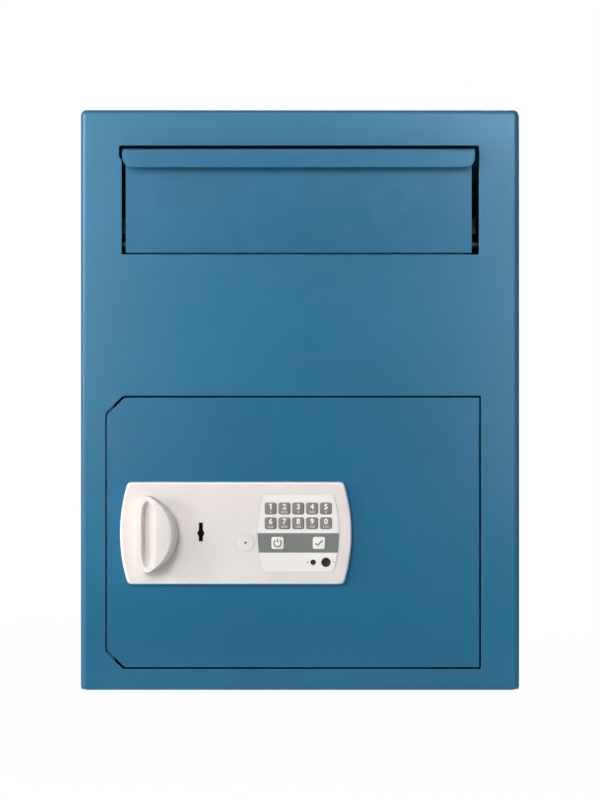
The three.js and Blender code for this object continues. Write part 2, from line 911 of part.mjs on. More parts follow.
function restBar() {
  const backEdge = onFloor(restBack + restLeg / 2, restTop);
  const frontEdge = onFloor(restBack - restLeg / 2, restTop);
  const section = outline([
    frontEdge.toArray(),
    [...backEdge.toArray(), restSheet],
    [backEdge.x, backEdge.y - restLeg],
    [backEdge.x - restSheet, backEdge.y - restLeg],
    [backEdge.x - restSheet, onFloor(restBack + restLeg / 2, restTop + restSheet).y - 1],
    onFloor(restBack - restLeg / 2, restTop + restSheet).toArray(),
  ]);
  return sideways(section, -innerSide + seam, 2 * (innerSide - seam), 3);
}

function restBuffer(side) {
  const centre = onFloor(restBack, bufferTop);
  const profile = [
    [0, -bufferHeight],
    [bufferRadius, -bufferHeight],
    [bufferRadius, -bufferChamfer],
    [bufferRadius - bufferChamfer, 0],
    [0, 0],
  ];
  return turned(profile, "z", 16)
    .rotateX(slope)
    .translate(side * (innerSide - bufferSide), centre.x, centre.y);
}

add("hopper_front", hopperFront(), bluePaint);
add("hopper_bin", hopperBin(), bluePaint);
for (const [word, side] of [
  ["left", -1],
  ["right", 1],
]) {
  add(`tilt_bush_${word}`, tiltBush(side), blackPlastic);
  add(`tilt_pin_${word}`, tiltPin(side), darkSteel);
  add(`tilt_bracket_${word}`, tiltBracket(side), zinc);
  add(`rest_buffer_${word}`, restBuffer(side), rubber);
}
add("hopper_hood", hopperHood(), bluePaint);
add("anti_fishing_comb", antiFishingComb(), zinc);
add("rest_bar", restBar(), bluePaint);

// Door
const cableX = keypadX;
const cableRadius = 6;
const spindleHole = spindleRadius + 2;
const barrelHole = barrelRadius + 2 * barrelGap;

function doorPlate() {
  const shape = doorOutline(doorLeft, doorRight, doorLow, doorHigh);
  shape.holes.push(circle(handleX, handleZ, spindleHole));
  shape.holes.push(circle(keyholeX, keyholeZ, barrelHole));
  shape.holes.push(circle(cableX, keypadZ, cableRadius));
  return facing(shape, front, doorThickness, 8);
}

// A pivot lug on the door's back; its pin stands out past the door's end.
function pivotLug(end) {
  const edge = end > 0 ? doorHigh : doorLow;
  const z0 = Math.min(edge, edge - end * lugHeight);
  const shape = outline([
    [pivotX - lugWidth / 2, onDoor, 1],
    [doorRight - lugEdge, onDoor, 1],
    [doorRight - lugEdge, onDoor + lugDepth, 5],
    [pivotX - lugWidth / 2, onDoor + lugDepth, 3],
  ]);
  const lug = level(shape, z0, lugHeight, 4);
  const [from, to] = [edge - end * lugHeight * 0.5, edge + end * pivotStickOut];
  const profile = [
    [0, from],
    [pivotRadius, from],
    [pivotRadius, to - end],
    [pivotRadius - 1, to],
    [0, to],
  ];
  if (end < 0) profile.reverse();
  const pin = turned(profile, "z", 20).translate(pivotX, pivotY, 0);
  return join(lug, pin);
}

// A fixed hinge plate, welded on edge behind the frame, with a round nose about the pin.
function hingePlateAt(end) {
  const edge = end > 0 ? openingTop : bottomRail;
  const z0 = end > 0 ? edge + hingePlateGap : edge - hingePlateGap - hingePlate;
  const rim = frameBack + seam;
  const nose = pivotY + hingeNose;
  const shape = outline([
    [pivotX - hingePlateWidth / 2, rim],
    [pivotX + hingePlateWidth / 2, rim],
    [pivotX + hingeNose, nose, hingeRound],
    [pivotX - hingeNose, nose, hingeRound],
  ]);
  shape.holes.push(circle(pivotX, pivotY, pivotRadius + runningGap));
  return level(shape, z0, hingePlate, 6);
}

// A strip that the door closes against; the bolts pass behind it.
const stopFace = doorBack + stopFaceGap;
const stopRight = doorLeft + stopOverlap;

function doorStop() {
  const shape = outline([
    [-innerSide + seam, stopFace],
    [stopRight - stopLead, stopFace],
    [stopRight, stopFace + stopLead],
    [stopRight, stopFace + stopSheet],
    [-innerSide + seam, stopFace + stopSheet],
  ]);
  return level(shape, bottomRail - stopTail, doorOpeningHeight + 2 * stopTail);
}

const door = new THREE.Group();
safe.add(door);
add("door_plate", doorPlate(), doorPaint, door);
add("pivot_lug_top", pivotLug(1), darkSteel, door);
add("pivot_lug_bottom", pivotLug(-1), darkSteel, door);
add("hinge_plate_top", hingePlateAt(1), darkSteel);
add("hinge_plate_bottom", hingePlateAt(-1), darkSteel);
add("door_stop", doorStop(), bluePaint);

// An outline with straight long sides and ends that bulge, drawn about its own centre.
function bulged(width, height, bulge, corner) {
  const w = width / 2;
  const h = height / 2;
  const r = (h * h + bulge * bulge) / (2 * bulge);
  const a = Math.asin((h - corner) / r);
  const edge = w - bulge;
  const onArc = w - r + r * Math.cos(a);
  const shape = new THREE.Shape();
  shape.moveTo(corner - edge, h);
  shape.lineTo(edge - corner, h);
  shape.quadraticCurveTo(edge, h, onArc, h - corner);
  shape.absarc(w - r, 0, r, a, -a, true);
  shape.quadraticCurveTo(edge, -h, edge - corner, -h);
  shape.lineTo(corner - edge, -h);
  shape.quadraticCurveTo(-edge, -h, -onArc, corner - h);
  shape.absarc(r - w, 0, r, Math.PI + a, Math.PI - a, true);
  shape.quadraticCurveTo(-edge, h, corner - edge, h);
  return shape;
}

function ring(shape, cx, cz, y, segments) {
  const all = shape.getPoints(segments);
  const points = all.filter((p, i) => p.distanceTo(all.at(i - 1)) > 1e-5);
  return points.map((p) => new THREE.Vector3(cx + p.x, y, cz + p.y));
}

const lockCentreX = lockX + lockWidth / 2;
const lockCentreZ = lockZ - lockDrop;

function lockRing(inset, y) {
  const shape = bulged(
    lockWidth - 2 * inset,
    lockHeight - 2 * inset,
    lockBulge,
    lockCorner,
  );
  return ring(shape, lockCentreX, lockCentreZ, y, 4);
}

function keyholeOutline() {
  const w = slotWidth / 2;
  const r = slotRound;
  const a = Math.asin(w / r);
  const shape = new THREE.Shape();
  shape.moveTo(-w, slotRise);
  shape.lineTo(w, slotRise);
  shape.absarc(0, 0, r, Math.PI / 2 - a, a - Math.PI / 2, true);
  shape.lineTo(w, -slotFall);
  shape.lineTo(-w, -slotFall);
  shape.absarc(0, 0, r, -Math.PI / 2 - a, Math.PI / 2 + a, true);
  shape.closePath();
  return shape;
}

const pocketFloor = lockFace - keypadProud + keypadSheet + seam;
const wallBack = lockFace + lockWall; // inner side of the lock plate's front wall

function lockPlate() {
  const shell = loft([
    lockRing(0, lockBack),
    lockRing(lockDraft, lockFace + lockBevel),
    lockRing(lockDraft + lockBevel * 0.35, lockFace + lockBevel * 0.35),
    lockRing(lockDraft + lockBevel, lockFace),
  ]);
  const hollow = loft([lockRing(lockWall, lockBack + past), lockRing(lockWall, wallBack)]);
  const pocket = bulged(
    keypadWidth + 2 * seam,
    keypadHeight + 2 * seam,
    keypadBulge,
    keypadCorner,
  );
  const window = rectangle(
    keypadX - keypadWidth / 2 + keypadBulge,
    keypadX + keypadWidth / 2 - keypadBulge,
    keypadZ - keypadHeight / 2 + windowMargin,
    keypadZ + keypadHeight / 2 - windowMargin,
    2,
  );
  const deep = lockWall + 2 * past;
  const opened = cut(
    shell,
    hollow,
    facing(pocket, lockFace - past, pocketFloor - lockFace + past, 4).translate(
      keypadX,
      0,
      keypadZ,
    ),
    facing(window, lockFace - past, deep, 3),
    facing(keyholeOutline(), lockFace - past, deep, 9).translate(keyholeX, 0, keyholeZ),
    facing(circle(handleX, handleZ, spindleHole), lockFace - past, deep, 10),
    facing(circle(capX, capZ, capRadius + seam), lockFace - past, deep, 14),
  );
  const endX = lockWidth / 2 - lockBulge - bossInset;
  const endZ = lockHeight / 2 - bossInset;
  const spots = [
    [-endX, endZ],
    [-endX, -endZ],
    [endX + bossShift, endZ + bossShift],
    [endX + bossShift, -endZ - bossShift],
  ];
  const posts = spots.map(([x, z]) =>
    solid(
      rod(bossRadius, wallBack - 0.5, lockBack, "y", 12).translate(
        lockCentreX + x,
        0,
        lockCentreZ + z,
      ),
    ),
  );
  return posts.reduce((a, b) => a.add(b), opened);
}

add("lock_plate", lockPlate(), warmPlastic, door);

// Keypad panel with a hole for each key and contact
const panelFront = lockFace - keypadProud;
const panelRear = panelFront + keypadSheet;
const boardFront = front - boardGap - boardSheet;
const keyFront = panelFront - keyProud;
const keyBack = boardFront - keyTravel - keyPlay;
const skirtFront = panelRear + keyPlay;

const keys = [];
keyRows.forEach((rise, row) => {
  for (let column = 0; column < keyColumns; column += 1) {
    const digit = (row * keyColumns + column + 1) % 10;
    const across = (column - (keyColumns - 1) / 2) * keyPitch;
    keys.push({
      name: `key_${digit}`,
      x: keypadX + across,
      z: lockZ + rise,
      width: keyWidth,
      material: greyPlastic,
    });
  }
});
[
  ["key_power", -1],
  ["key_enter", 1],
].forEach(([name, side]) => {
  keys.push({
    name,
    x: keypadX + side * commandSpread,
    z: lockZ - commandDrop,
    width: commandWidth,
    material: warmPlastic,
  });
});

function keySquare(key, extra, corner) {
  const w = key.width / 2 + extra;
  return rectangle(key.x - w, key.x + w, key.z - w, key.z + w, corner);
}

function keypadPanel() {
  const plate = bulged(keypadWidth, keypadHeight, keypadBulge, keypadCorner);
  const tools = keys.map((key) =>
    facing(keySquare(key, keyGap, keyCorner), panelFront - past, keypadSheet + 2 * past, 3),
  );
  contacts.forEach(([, across, radius]) => {
    const hole = circle(keypadX + across, lockZ - contactDrop, radius + seam);
    tools.push(facing(hole, panelFront - past, keypadSheet + 2 * past, 8));
  });
  return cut(
    facing(plate, panelFront, keypadSheet, 4).translate(keypadX, 0, keypadZ),
    ...tools,
  );
}

// A key: a cap with softened edges, a skirt that keeps it behind the panel, and a stem.
function keyCap(key) {
  const top = keySquare(key, -keySoft, keyCorner - keySoft);
  const cap = loft([
    ring(keySquare(key, 0, keyCorner), 0, 0, skirtFront + keySkirt / 2, 3),
    ring(keySquare(key, 0, keyCorner), 0, 0, keyFront + keySoft, 3),
    ring(top, 0, 0, keyFront, 3),
  ]);
  const skirt = facing(keySquare(key, keyFlange, 0), skirtFront, keySkirt);
  const stem = rod(keyStem, skirtFront + keySkirt / 2, keyBack, "y", 8);
  return join(cap, skirt, stem.translate(key.x, 0, key.z));
}

function contactStud(across, radius) {
  const face = panelFront + contactRecess;
  const foot = panelRear + 2 * seam;
  const profile = [
    [0, face + radius * contactDish],
    [radius * 0.55, face + radius * contactDish],
    [radius * 0.75, face],
    [radius, face],
    [radius, foot],
    [contactStem, foot],
    [contactStem, boardFront - seam],
    [0, boardFront - seam],
  ];
  return turned(profile, "y", 16).translate(keypadX + across, 0, lockZ - contactDrop);
}

function circuitBoard() {
  const w = keypadWidth / 2 - boardMargin;
  const h = keypadHeight / 2 - boardMargin;
  const shape = outline([
    [keypadX - w, keypadZ - h, 2],
    [keypadX + w, keypadZ - h, 2],
    [keypadX + w, keypadZ + h, 2],
    [keypadX - w, keypadZ + h, 2],
  ]);
  for (const sx of [-1, 1])
    shape.holes.push(circle(keypadX + sx * (w - 4), keypadZ + h - 3, boardScrew));
  return facing(shape, boardFront, boardSheet, 4);
}

function roundCap() {
  const rim = capRadius;
  const profile = [
    [capHole, lockFace - capDome],
    [rim * 0.6, lockFace - capDome * 0.8],
    [rim - 0.6, lockFace - capDome * 0.3],
    [rim, lockFace + 0.4],
    [rim, wallBack - seam],
    [rim - 2, wallBack + 1.5],
    [capHole, wallBack + 1.5],
    [capHole, lockFace - capDome],
  ];
  return turned(profile, "y", 28).translate(capX, 0, capZ);
}

add("keypad_panel", keypadPanel(), warmPlastic, door);
for (const key of keys) add(key.name, keyCap(key), key.material, door);
for (const [name, across, radius] of contacts)
  add(name, contactStud(across, radius), blackPlastic, door);
add("circuit_board", circuitBoard(), boardGreen, door);
add("round_cap", roundCap(), warmPlastic, door);

// Turning handle: a drafted D with a crowned front and an undercut finger groove on its left.
function handleRing(right, y) {
  const tip = -handleTip;
  const reach = right - tip;
  const r = (handleHalf * handleHalf + reach * reach) / (2 * reach);
  const a = Math.asin(handleHalf / r);
  const sweep = right < r + tip ? a : Math.PI - a;
  const shape = new THREE.Shape();
  shape.moveTo(tip, handleHalf);
  shape.absarc(right - r, 0, r, sweep, -sweep, true);
  shape.quadraticCurveTo(-handleLeft, -handleHalf, -handleLeft, -handleWaist);
  shape.lineTo(-handleLeft, handleWaist);
  shape.quadraticCurveTo(-handleLeft, handleHalf, tip, handleHalf);
  return ring(shape, handleX, handleZ, y, 10);
}

const handleFoot = lockFace - handleGap;

// The handle's upright sections are drawn as [across, -height], so that they rise toward -Y.
function turningHandle() {
  const uncut = handleFoot - handleRise - past;
  const body = solid(
    loft([
      handleRing(handleBase, handleFoot),
      handleRing(handleBase - handleSkirtDraft, handleFoot - handleRise * handleSkirt),
      handleRing((handleBase + handleFace) / 2, handleFoot - handleRise * handleElbow),
      handleRing(handleFace, uncut),
    ]),
  );
  const ridge = grooveRim + grooveWidth - handleLeft;
  const crown = new THREE.Shape();
  crown.moveTo(-handleLeft - past, past);
  crown.lineTo(-handleLeft - past, -handleLeftRise);
  const [leadIn, leadHigh] = crownLeft;
  const [leadOut, fallHigh] = crownRight;
  crown.quadraticCurveTo(ridge - leadIn, -handleRise * leadHigh, ridge, -handleRise);
  crown.quadraticCurveTo(ridge + leadOut, -handleRise * fallHigh, handleFace, -handleRightRise);
  crown.lineTo(handleBase + past, -handleRise * handleElbow);
  crown.lineTo(handleBase + past, past);
  crown.closePath();
  const upright = (shape, reach) =>
    solid(level(shape, handleZ - reach, 2 * reach, 8).translate(handleX, handleFoot, 0));
  const crowned = body.intersect(upright(crown, handleHalf + past));
  const left = grooveRim - handleLeft;
  const wedge = new THREE.Shape();
  wedge.moveTo(left, -handleRise - 2 * past);
  wedge.lineTo(left, -grooveFloor - grooveRound / 2);
  wedge.quadraticCurveTo(left, -grooveFloor, left + grooveRound, -grooveFloor);
  const [heel, heelRise] = grooveHeel;
  wedge.quadraticCurveTo(ridge - heel, -grooveFloor - heelRise, ridge, -handleRise - past / 2);
  wedge.lineTo(ridge, -handleRise - 2 * past);
  wedge.closePath();
  const [steep, shallow] = grooveCorners;
  const ends = outline([
    [left - past, -grooveHalf, steep],
    [ridge + past, -grooveHalf + grooveNarrow, shallow],
    [ridge + past, grooveHalf - grooveNarrow, shallow],
    [left - past, grooveHalf, steep],
  ]);
  const run = facing(ends, handleFoot - 2 * handleRise, 2 * handleRise, 5);
  const groove = upright(wedge, grooveHalf + past).intersect(
    solid(run.translate(handleX, 0, handleZ)),
  );
  const socket = rod(
    spindleRadius + seam,
    handleFoot - spindleSink - seam,
    handleFoot + past,
    "y",
    20,
  ).translate(handleX, 0, handleZ);
  return cut(crowned.subtract(groove), socket);
}

// Cam: the crank pin drives the bolts, and the lobe turns past the solenoid's plunger.
const camFront = doorBack + camBack;
const camRear = camFront + camSheet;
const crank = boltThrow / (2 * Math.sin((handleTurn / 2) * degrees));
const crankAt = 90 - handleTurn / 2; // degrees from +X, when the bolts are withdrawn
const armFront = camRear + armGap;
const armRear = armFront + armSheet;
const crankX = crank * Math.cos(crankAt * degrees);
const crankZ = crank * Math.sin(crankAt * degrees);

function driveCam() {
  const eye = rod(camEye, camFront, camRear, "y", 20).translate(crankX, 0, crankZ);
  const hub = rod(camHub, camFront, camRear, "y", 28);
  const web = outline([
    [-camEye * 0.7, 0],
    [camEye * 0.7, 0],
    [camEye * 0.95, crank],
    [-camEye * 0.95, crank],
  ]);
  const arm = facing(web, camFront, camSheet).rotateY((90 - crankAt) * degrees);
  const opposite = crankAt + 180;
  const rim = arc(0, 0, camLobe, opposite - camLobeHalf, opposite + camLobeHalf, 6);
  const sector = new THREE.Shape(
    [[0, 0], ...rim].map(([x, z]) => new THREE.Vector2(x, z)),
  );
  const pin = rod(crankPin, camRear - 0.5, armRear + 2, "y", 16).translate(
    crankX,
    0,
    crankZ,
  );
  const cam = cut(
    join(hub, eye, arm, facing(sector, camFront, camSheet), pin),
    rod(spindleRadius + seam, camFront - past, camRear + past, "y", 20),
  );
  return geometryOf(cam).translate(handleX, 0, handleZ);
}

function spindle() {
  const start = handleFoot - spindleSink;
  const end = camRear + 1.5;
  const profile = [
    [0, start],
    [spindleRadius - 0.6, start],
    [spindleRadius, start + 0.6],
    [spindleRadius, end - 0.6],
    [spindleRadius - 0.6, end],
    [0, end],
  ];
  return turned(profile, "y", 20).translate(handleX, 0, handleZ);
}

add("turning_handle", turningHandle(), warmPlastic, door);
add("handle_spindle", spindle(), zinc, door);
add("drive_cam", driveCam(), zinc, door);

// Bolts, their carrier and guide
const boltY = front + boltBack;
const boltTip = stopRight + boltClear;
const guideLeft = boltTip + guideSetBack;
const guideRight = guideLeft + guideSheet;
const carrierLeft = guideRight + carrierRun + boltThrow;
const carrierRight = carrierLeft + carrierSheet;
const boltLevels = Array.from(
  { length: boltCount },
  (_, i) => lockZ + (i - (boltCount - 1) / 2) * boltPitch,
);

function lockingBolt(z) {
  const profile = [
    [0, boltTip],
    [boltRadius - boltNose, boltTip],
    [boltRadius, boltTip + boltNose],
    [boltRadius, carrierLeft - seam],
    [rivetRadius, carrierLeft - seam],
    [rivetRadius, carrierRight - seam],
    [0, carrierRight - seam],
  ];
  return turned(profile, "x", 24).translate(0, boltY, z);
}

function boltCarrier() {
  const low = boltLevels[0] - carrierTail;
  const high = boltLevels.at(-1) + carrierTail;
  const leg = rectangle(boltY - boltRadius, armRear, low, high, 1.5);
  boltLevels.forEach((z) => leg.holes.push(circle(boltY, z, rivetRadius + seam)));
  const arm = outline([
    [carrierLeft, handleZ - carrierArmLow],
    [carrierLeft + carrierArm * 0.4, handleZ - carrierArmLow, 4],
    [carrierLeft + carrierArm * 0.6, handleZ + carrierArmHigh * 0.35, 6],
    [carrierLeft + carrierArm, handleZ + carrierArmHigh * 0.5, 6],
    [carrierLeft + carrierArm, handleZ + carrierArmHigh, 6],
    [carrierLeft, handleZ + carrierArmHigh],
  ]);
  const crankSlot = new THREE.Shape();
  const wide = crankPin + slideClear + 0.1;
  crankSlot.absarc(handleX + crankX, handleZ + crank, wide, 0, Math.PI, false);
  crankSlot.absarc(handleX + crankX, handleZ + crankZ, wide, Math.PI, 2 * Math.PI, false);
  crankSlot.closePath();
  const tools = studSpots.map((across) =>
    facing(
      slot(
        handleX + across,
        handleX + across + boltThrow,
        handleZ + studRise,
        studRadius + slideClear,
      ),
      armFront - past,
      armSheet + 2 * past,
      4,
    ),
  );
  return cut(
    join(sideways(leg, carrierLeft, carrierSheet, 8), facing(arm, armFront, armSheet)),
    facing(crankSlot, armFront - past, armSheet + 2 * past, 8),
    ...tools,
  );
}

function boltGuide() {
  const low = boltLevels[0] - carrierTail - 4;
  const high = boltLevels.at(-1) + carrierTail + 4;
  const rear = doorBack + coverDepth - seam;
  const web = rectangle(onDoor, rear, low, high, 1);
  boltLevels.forEach((z) => web.holes.push(circle(boltY, z, boltRadius + guideClear)));
  return join(
    sideways(web, guideLeft, guideSheet, 12),
    box(guideRight - past, guideLeft + guideFoot, onDoor, onDoor + guideSheet, low, high),
  );
}

function guideStud(across) {
  const head = armRear + seam * 2;
  const profile = [
    [0, onDoor],
    [studRadius + 2, onDoor],
    [studRadius + 2, onDoor + 2],
    [studRadius, onDoor + 2],
    [studRadius, head],
    [studHead, head],
    [studHead, head + studHeadThickness - 0.6],
    [studHead - 0.6, head + studHeadThickness],
    [0, head + studHeadThickness],
  ];
  return turned(profile, "y", 16).translate(handleX + across, 0, handleZ + studRise);
}

boltLevels.forEach((z, i) => {
  add(`locking_bolt_${i + 1}`, lockingBolt(z), steel, door);
});
add("bolt_carrier", boltCarrier(), zinc, door);
add("bolt_guide", boltGuide(), zinc, door);
studSpots.forEach((across, i) => {
  add(`guide_stud_${i + 1}`, guideStud(across), zinc, door);
});

// Solenoid and its plunger, under the cam
const solenoidTop = handleZ - solenoidDrop;
const plungerY = (camFront + camRear) / 2;
const plungerTip = handleZ - camLobe - plungerClear;

function solenoid() {
  const w = solenoidWidth / 2;
  const frame = box(
    handleX - w,
    handleX + w,
    onDoor,
    plungerY + w,
    solenoidTop - solenoidHeight,
    solenoidTop,
  );
  const sideWindow = box(
    handleX - w - past,
    handleX + w + past,
    plungerY - w * 0.7,
    plungerY + w + past,
    solenoidTop - solenoidHeight + 3,
    solenoidTop - 3,
  );
  const coil = rod(w - 1, solenoidTop - solenoidHeight + 2, solenoidTop - 2, "z", 20);
  const bore = rod(
    plungerRadius + runningGap,
    plungerTip - plungerSink - 3,
    solenoidTop + past,
    "z",
    16,
  );
  const yoke = cut(frame, sideWindow).add(
    solid(coil.translate(handleX, plungerY, 0)),
  );
  return cut(yoke, bore.translate(handleX, plungerY, 0));
}

function plunger() {
  const collar = solenoidTop + 0.8;
  const profile = [
    [0, plungerTip - plungerSink],
    [plungerRadius, plungerTip - plungerSink],
    [plungerRadius, collar],
    [collarRadius, collar],
    [collarRadius, collar + collarThickness * 0.5],
    [plungerRadius, collar + collarThickness * 0.5],
    [plungerRadius, plungerTip - 0.8],
    [plungerRadius - 0.8, plungerTip],
    [0, plungerTip],
  ];
  return turned(profile, "z", 16).translate(handleX, plungerY, 0);
}

add("solenoid", solenoid(), blackPlastic, door);
add("solenoid_plunger", plunger(), steel, door);

// Emergency lock: a slotted barrel in a case, and the release slide that it drives
const caseRear = doorBack + caseDepth;
const releaseTop = keyholeZ - barrelRadius - barrelGap - 1.6;
const releaseFront = onDoor + releaseBack;
const caseLeft = keyholeX - caseWidth / 2;

function keyBarrel() {
  const start = wallBack + barrelGap;
  const body = rod(barrelRadius, start, caseRear - barrelGap, "y", 28);
  const through = caseRear - start + 2 * past;
  const cutter = facing(keyholeOutline(), start - past, through, 5);
  return geometryOf(cut(body, cutter)).translate(keyholeX, 0, keyholeZ);
}

function lockCase() {
  const shape = rectangle(
    caseLeft,
    caseLeft + caseWidth,
    keyholeZ - caseHeight / 2,
    keyholeZ + caseHeight / 2,
    caseCorner,
  );
  shape.holes.push(circle(keyholeX, keyholeZ, barrelRadius + barrelGap));
  const channel = box(
    caseLeft - past,
    caseLeft + releaseLength - releaseOut + 1,
    releaseFront - runningGap,
    releaseFront + releaseSheet + runningGap,
    releaseTop - releaseHeight - runningGap,
    releaseTop + runningGap,
  );
  return cut(facing(shape, onDoor, caseRear - onDoor, 7), channel);
}

function releaseSlide() {
  const start = caseLeft - releaseOut;
  const shape = outline([
    [start, releaseTop - releaseHeight, 1],
    [start + releaseLength, releaseTop - releaseHeight, 0.5],
    [start + releaseLength, releaseTop, 0.5],
    [start + 4, releaseTop, 1],
    [start, releaseTop - 3, 1],
  ]);
  return facing(shape, releaseFront, releaseSheet, 3);
}

add("key_barrel", keyBarrel(), darkSteel, door);
add("lock_case", lockCase(), zinc, door);
add("release_slide", releaseSlide(), steel, door);

// Cover over the boltwork, with a battery pack behind a screwed lid
const coverLeft = guideRight + seam;
const coverRight = doorRight - coverHingeGap;
const coverLow = doorLow + coverEnd;
const coverHigh = doorHigh - coverEnd;
const coverInner = doorBack + coverDepth;
const packX = coverRight - packAcross;
const packZ = coverLow + packRise;
const packHalf = packCells * cellRadius;
const lidFront = coverInner + coverSheet + seam;

function boltworkCover() {
  const outer = rectangle(coverLeft, coverRight, coverLow, coverHigh, 3);
  const inner = rectangle(
    coverLeft - past,
    coverRight - coverSheet,
    coverLow + coverSheet,
    coverHigh - coverSheet,
    1.5,
  );
  const window = rectangle(
    packX - packHalf - seam,
    packX + packHalf + seam,
    packZ - cellLength / 2 - seam,
    packZ + cellLength / 2 + seam,
  );
  return cut(
    facing(outer, onDoor, coverInner + coverSheet - onDoor, 3),
    facing(inner, onDoor - past, coverInner - onDoor + past, 3),
    facing(window, coverInner - past, coverSheet + 2 * past, 3),
  );
}

// The cells lie side by side in one sleeve, which keeps their round backs. The window's edges and
// the lid hold the pack.
function batteryPack() {
  const bottom = lidFront - seam - 2 * cellRadius;
  const shape = new THREE.Shape();
  shape.moveTo(packX - packHalf, bottom);
  shape.lineTo(packX + packHalf, bottom);
  for (let i = packCells - 1; i >= 0; i -= 1) {
    const x = packX - packHalf + cellRadius * (2 * i + 1);
    shape.absarc(x, bottom + cellRadius, cellRadius, 0.12, Math.PI - 0.12, false);
  }
  shape.closePath();
  return level(shape, packZ - cellLength / 2, cellLength, 6);
}

function batteryLid() {
  const shape = rectangle(
    packX - packHalf - lidMargin,
    packX + packHalf + lidMargin,
    packZ - cellLength / 2 - lidMargin,
    packZ + cellLength / 2 + lidMargin,
    4,
  );
  const plate = facing(shape, lidFront, lidSheet, 5);
  const lidBack = lidFront + lidSheet;
  const [left, right] = [packX - lidGripHalf, packX + lidGripHalf];
  const grips = [-1, 0, 1].map((i) => {
    const z = packZ + i * lidGrip;
    return box(left, right, lidBack - lidGripDepth, lidBack + past, z - 1, z + 1);
  });
  return cut(plate, ...grips);
}

add("boltwork_cover", boltworkCover(), coverPaint, door);
add("battery_pack", batteryPack(), packBlue, door);
add("battery_lid", batteryLid(), blackPlastic, door);

export default safe;
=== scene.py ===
# Looks of a hopper deposit safe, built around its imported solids. Metres, +Z up, front faces -Y.
import json
from math import atan2, pi, radians

import bmesh
import bpy
import numpy as np
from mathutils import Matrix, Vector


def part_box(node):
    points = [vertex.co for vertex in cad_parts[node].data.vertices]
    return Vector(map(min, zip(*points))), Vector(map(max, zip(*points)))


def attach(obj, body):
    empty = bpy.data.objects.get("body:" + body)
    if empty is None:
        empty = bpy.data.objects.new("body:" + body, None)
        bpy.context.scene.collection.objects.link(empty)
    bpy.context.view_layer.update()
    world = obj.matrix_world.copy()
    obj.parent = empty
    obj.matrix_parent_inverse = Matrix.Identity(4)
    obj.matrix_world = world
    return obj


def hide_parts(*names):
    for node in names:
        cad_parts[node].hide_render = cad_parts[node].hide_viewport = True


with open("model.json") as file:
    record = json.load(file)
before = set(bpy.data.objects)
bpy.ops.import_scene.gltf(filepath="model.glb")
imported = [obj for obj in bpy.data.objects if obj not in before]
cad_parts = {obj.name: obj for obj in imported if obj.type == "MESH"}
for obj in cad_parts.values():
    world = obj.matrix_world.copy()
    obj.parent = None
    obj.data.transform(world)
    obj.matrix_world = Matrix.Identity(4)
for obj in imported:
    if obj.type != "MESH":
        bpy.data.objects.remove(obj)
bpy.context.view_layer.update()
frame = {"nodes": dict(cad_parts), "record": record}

mm = 0.001


def linear(red, green, blue):  # the light that a screen's colour, from 0 to 255, stands for
    shares = np.array((red, green, blue), float) / 255
    light = np.where(shares < 0.04045, shares / 12.92, ((shares + 0.055) / 1.055) ** 2.4)
    return (*[float(v) for v in light], 1.0)


def shaded(colour, factor):
    return (*[min(1.0, c * factor) for c in colour[:3]], 1.0)


def between(limits, share):
    low, high = limits
    return low + (high - low) * share


# Shader kit


class Wire:  # an output of a node; sums with it become Math nodes
    def __init__(self, shading, socket):
        self.shading = shading
        self.socket = socket

    def sum(self, operation, *values):
        settings = {"operation": operation}
        return self.shading.node("ShaderNodeMath", settings, dict(enumerate(values)))

    def __add__(self, other):
        return self.sum("ADD", self, other)

    __radd__ = __add__

    def __sub__(self, other):
        return self.sum("SUBTRACT", self, other)

    def __rsub__(self, other):
        return self.sum("SUBTRACT", other, self)

    def __mul__(self, other):
        return self.sum("MULTIPLY", self, other)

    __rmul__ = __mul__

    def __gt__(self, other):
        return self.sum("GREATER_THAN", self, other)

    def __abs__(self):
        return self.sum("ABSOLUTE", self)


class Shading:  # the nodes of a material or a world, while they are being joined
    def __init__(self, owner):
        owner.use_nodes = True
        self.tree = owner.node_tree
        self.tree.nodes.clear()

    def plug(self, socket, value):
        if isinstance(value, Wire):
            self.tree.links.new(value.socket, socket)
        else:
            socket.default_value = value

    def node(self, kind, settings=None, values=None, output=0):
        made = self.tree.nodes.new(kind)
        for key, value in (settings or {}).items():
            if key == "stops":
                ramp = made.color_ramp.elements
                while len(ramp) < len(value):
                    ramp.new(0.5)
                for stop, (position, shade) in zip(ramp, value):
                    stop.position = position
                    stop.color = (shade, shade, shade, 1)
            else:
                setattr(made, key, value)
        for key, value in (values or {}).items():
            self.plug(made.inputs[key], value)
        return Wire(self, made.outputs[output])

    def endIn(self, kind, value):  # an output node has inputs alone
        self.plug(self.tree.nodes.new(kind).inputs[0], value)

    def seenDirectly(self):  # 1 for camera, glossy and transmission rays, 0 for the rest
        found = self.node("ShaderNodeLightPath", output="Is Camera Ray")
        for word in ("Is Glossy Ray", "Is Transmission Ray"):
            found = found.sum("MAXIMUM", found, self.node("ShaderNodeLightPath", output=word))
        return found


socketNames = {
    "baseColor": "Base Color",
    "metallic": "Metallic",
    "roughness": "Roughness",
    "specular": "Specular IOR Level",
    "normal": "Normal",
}


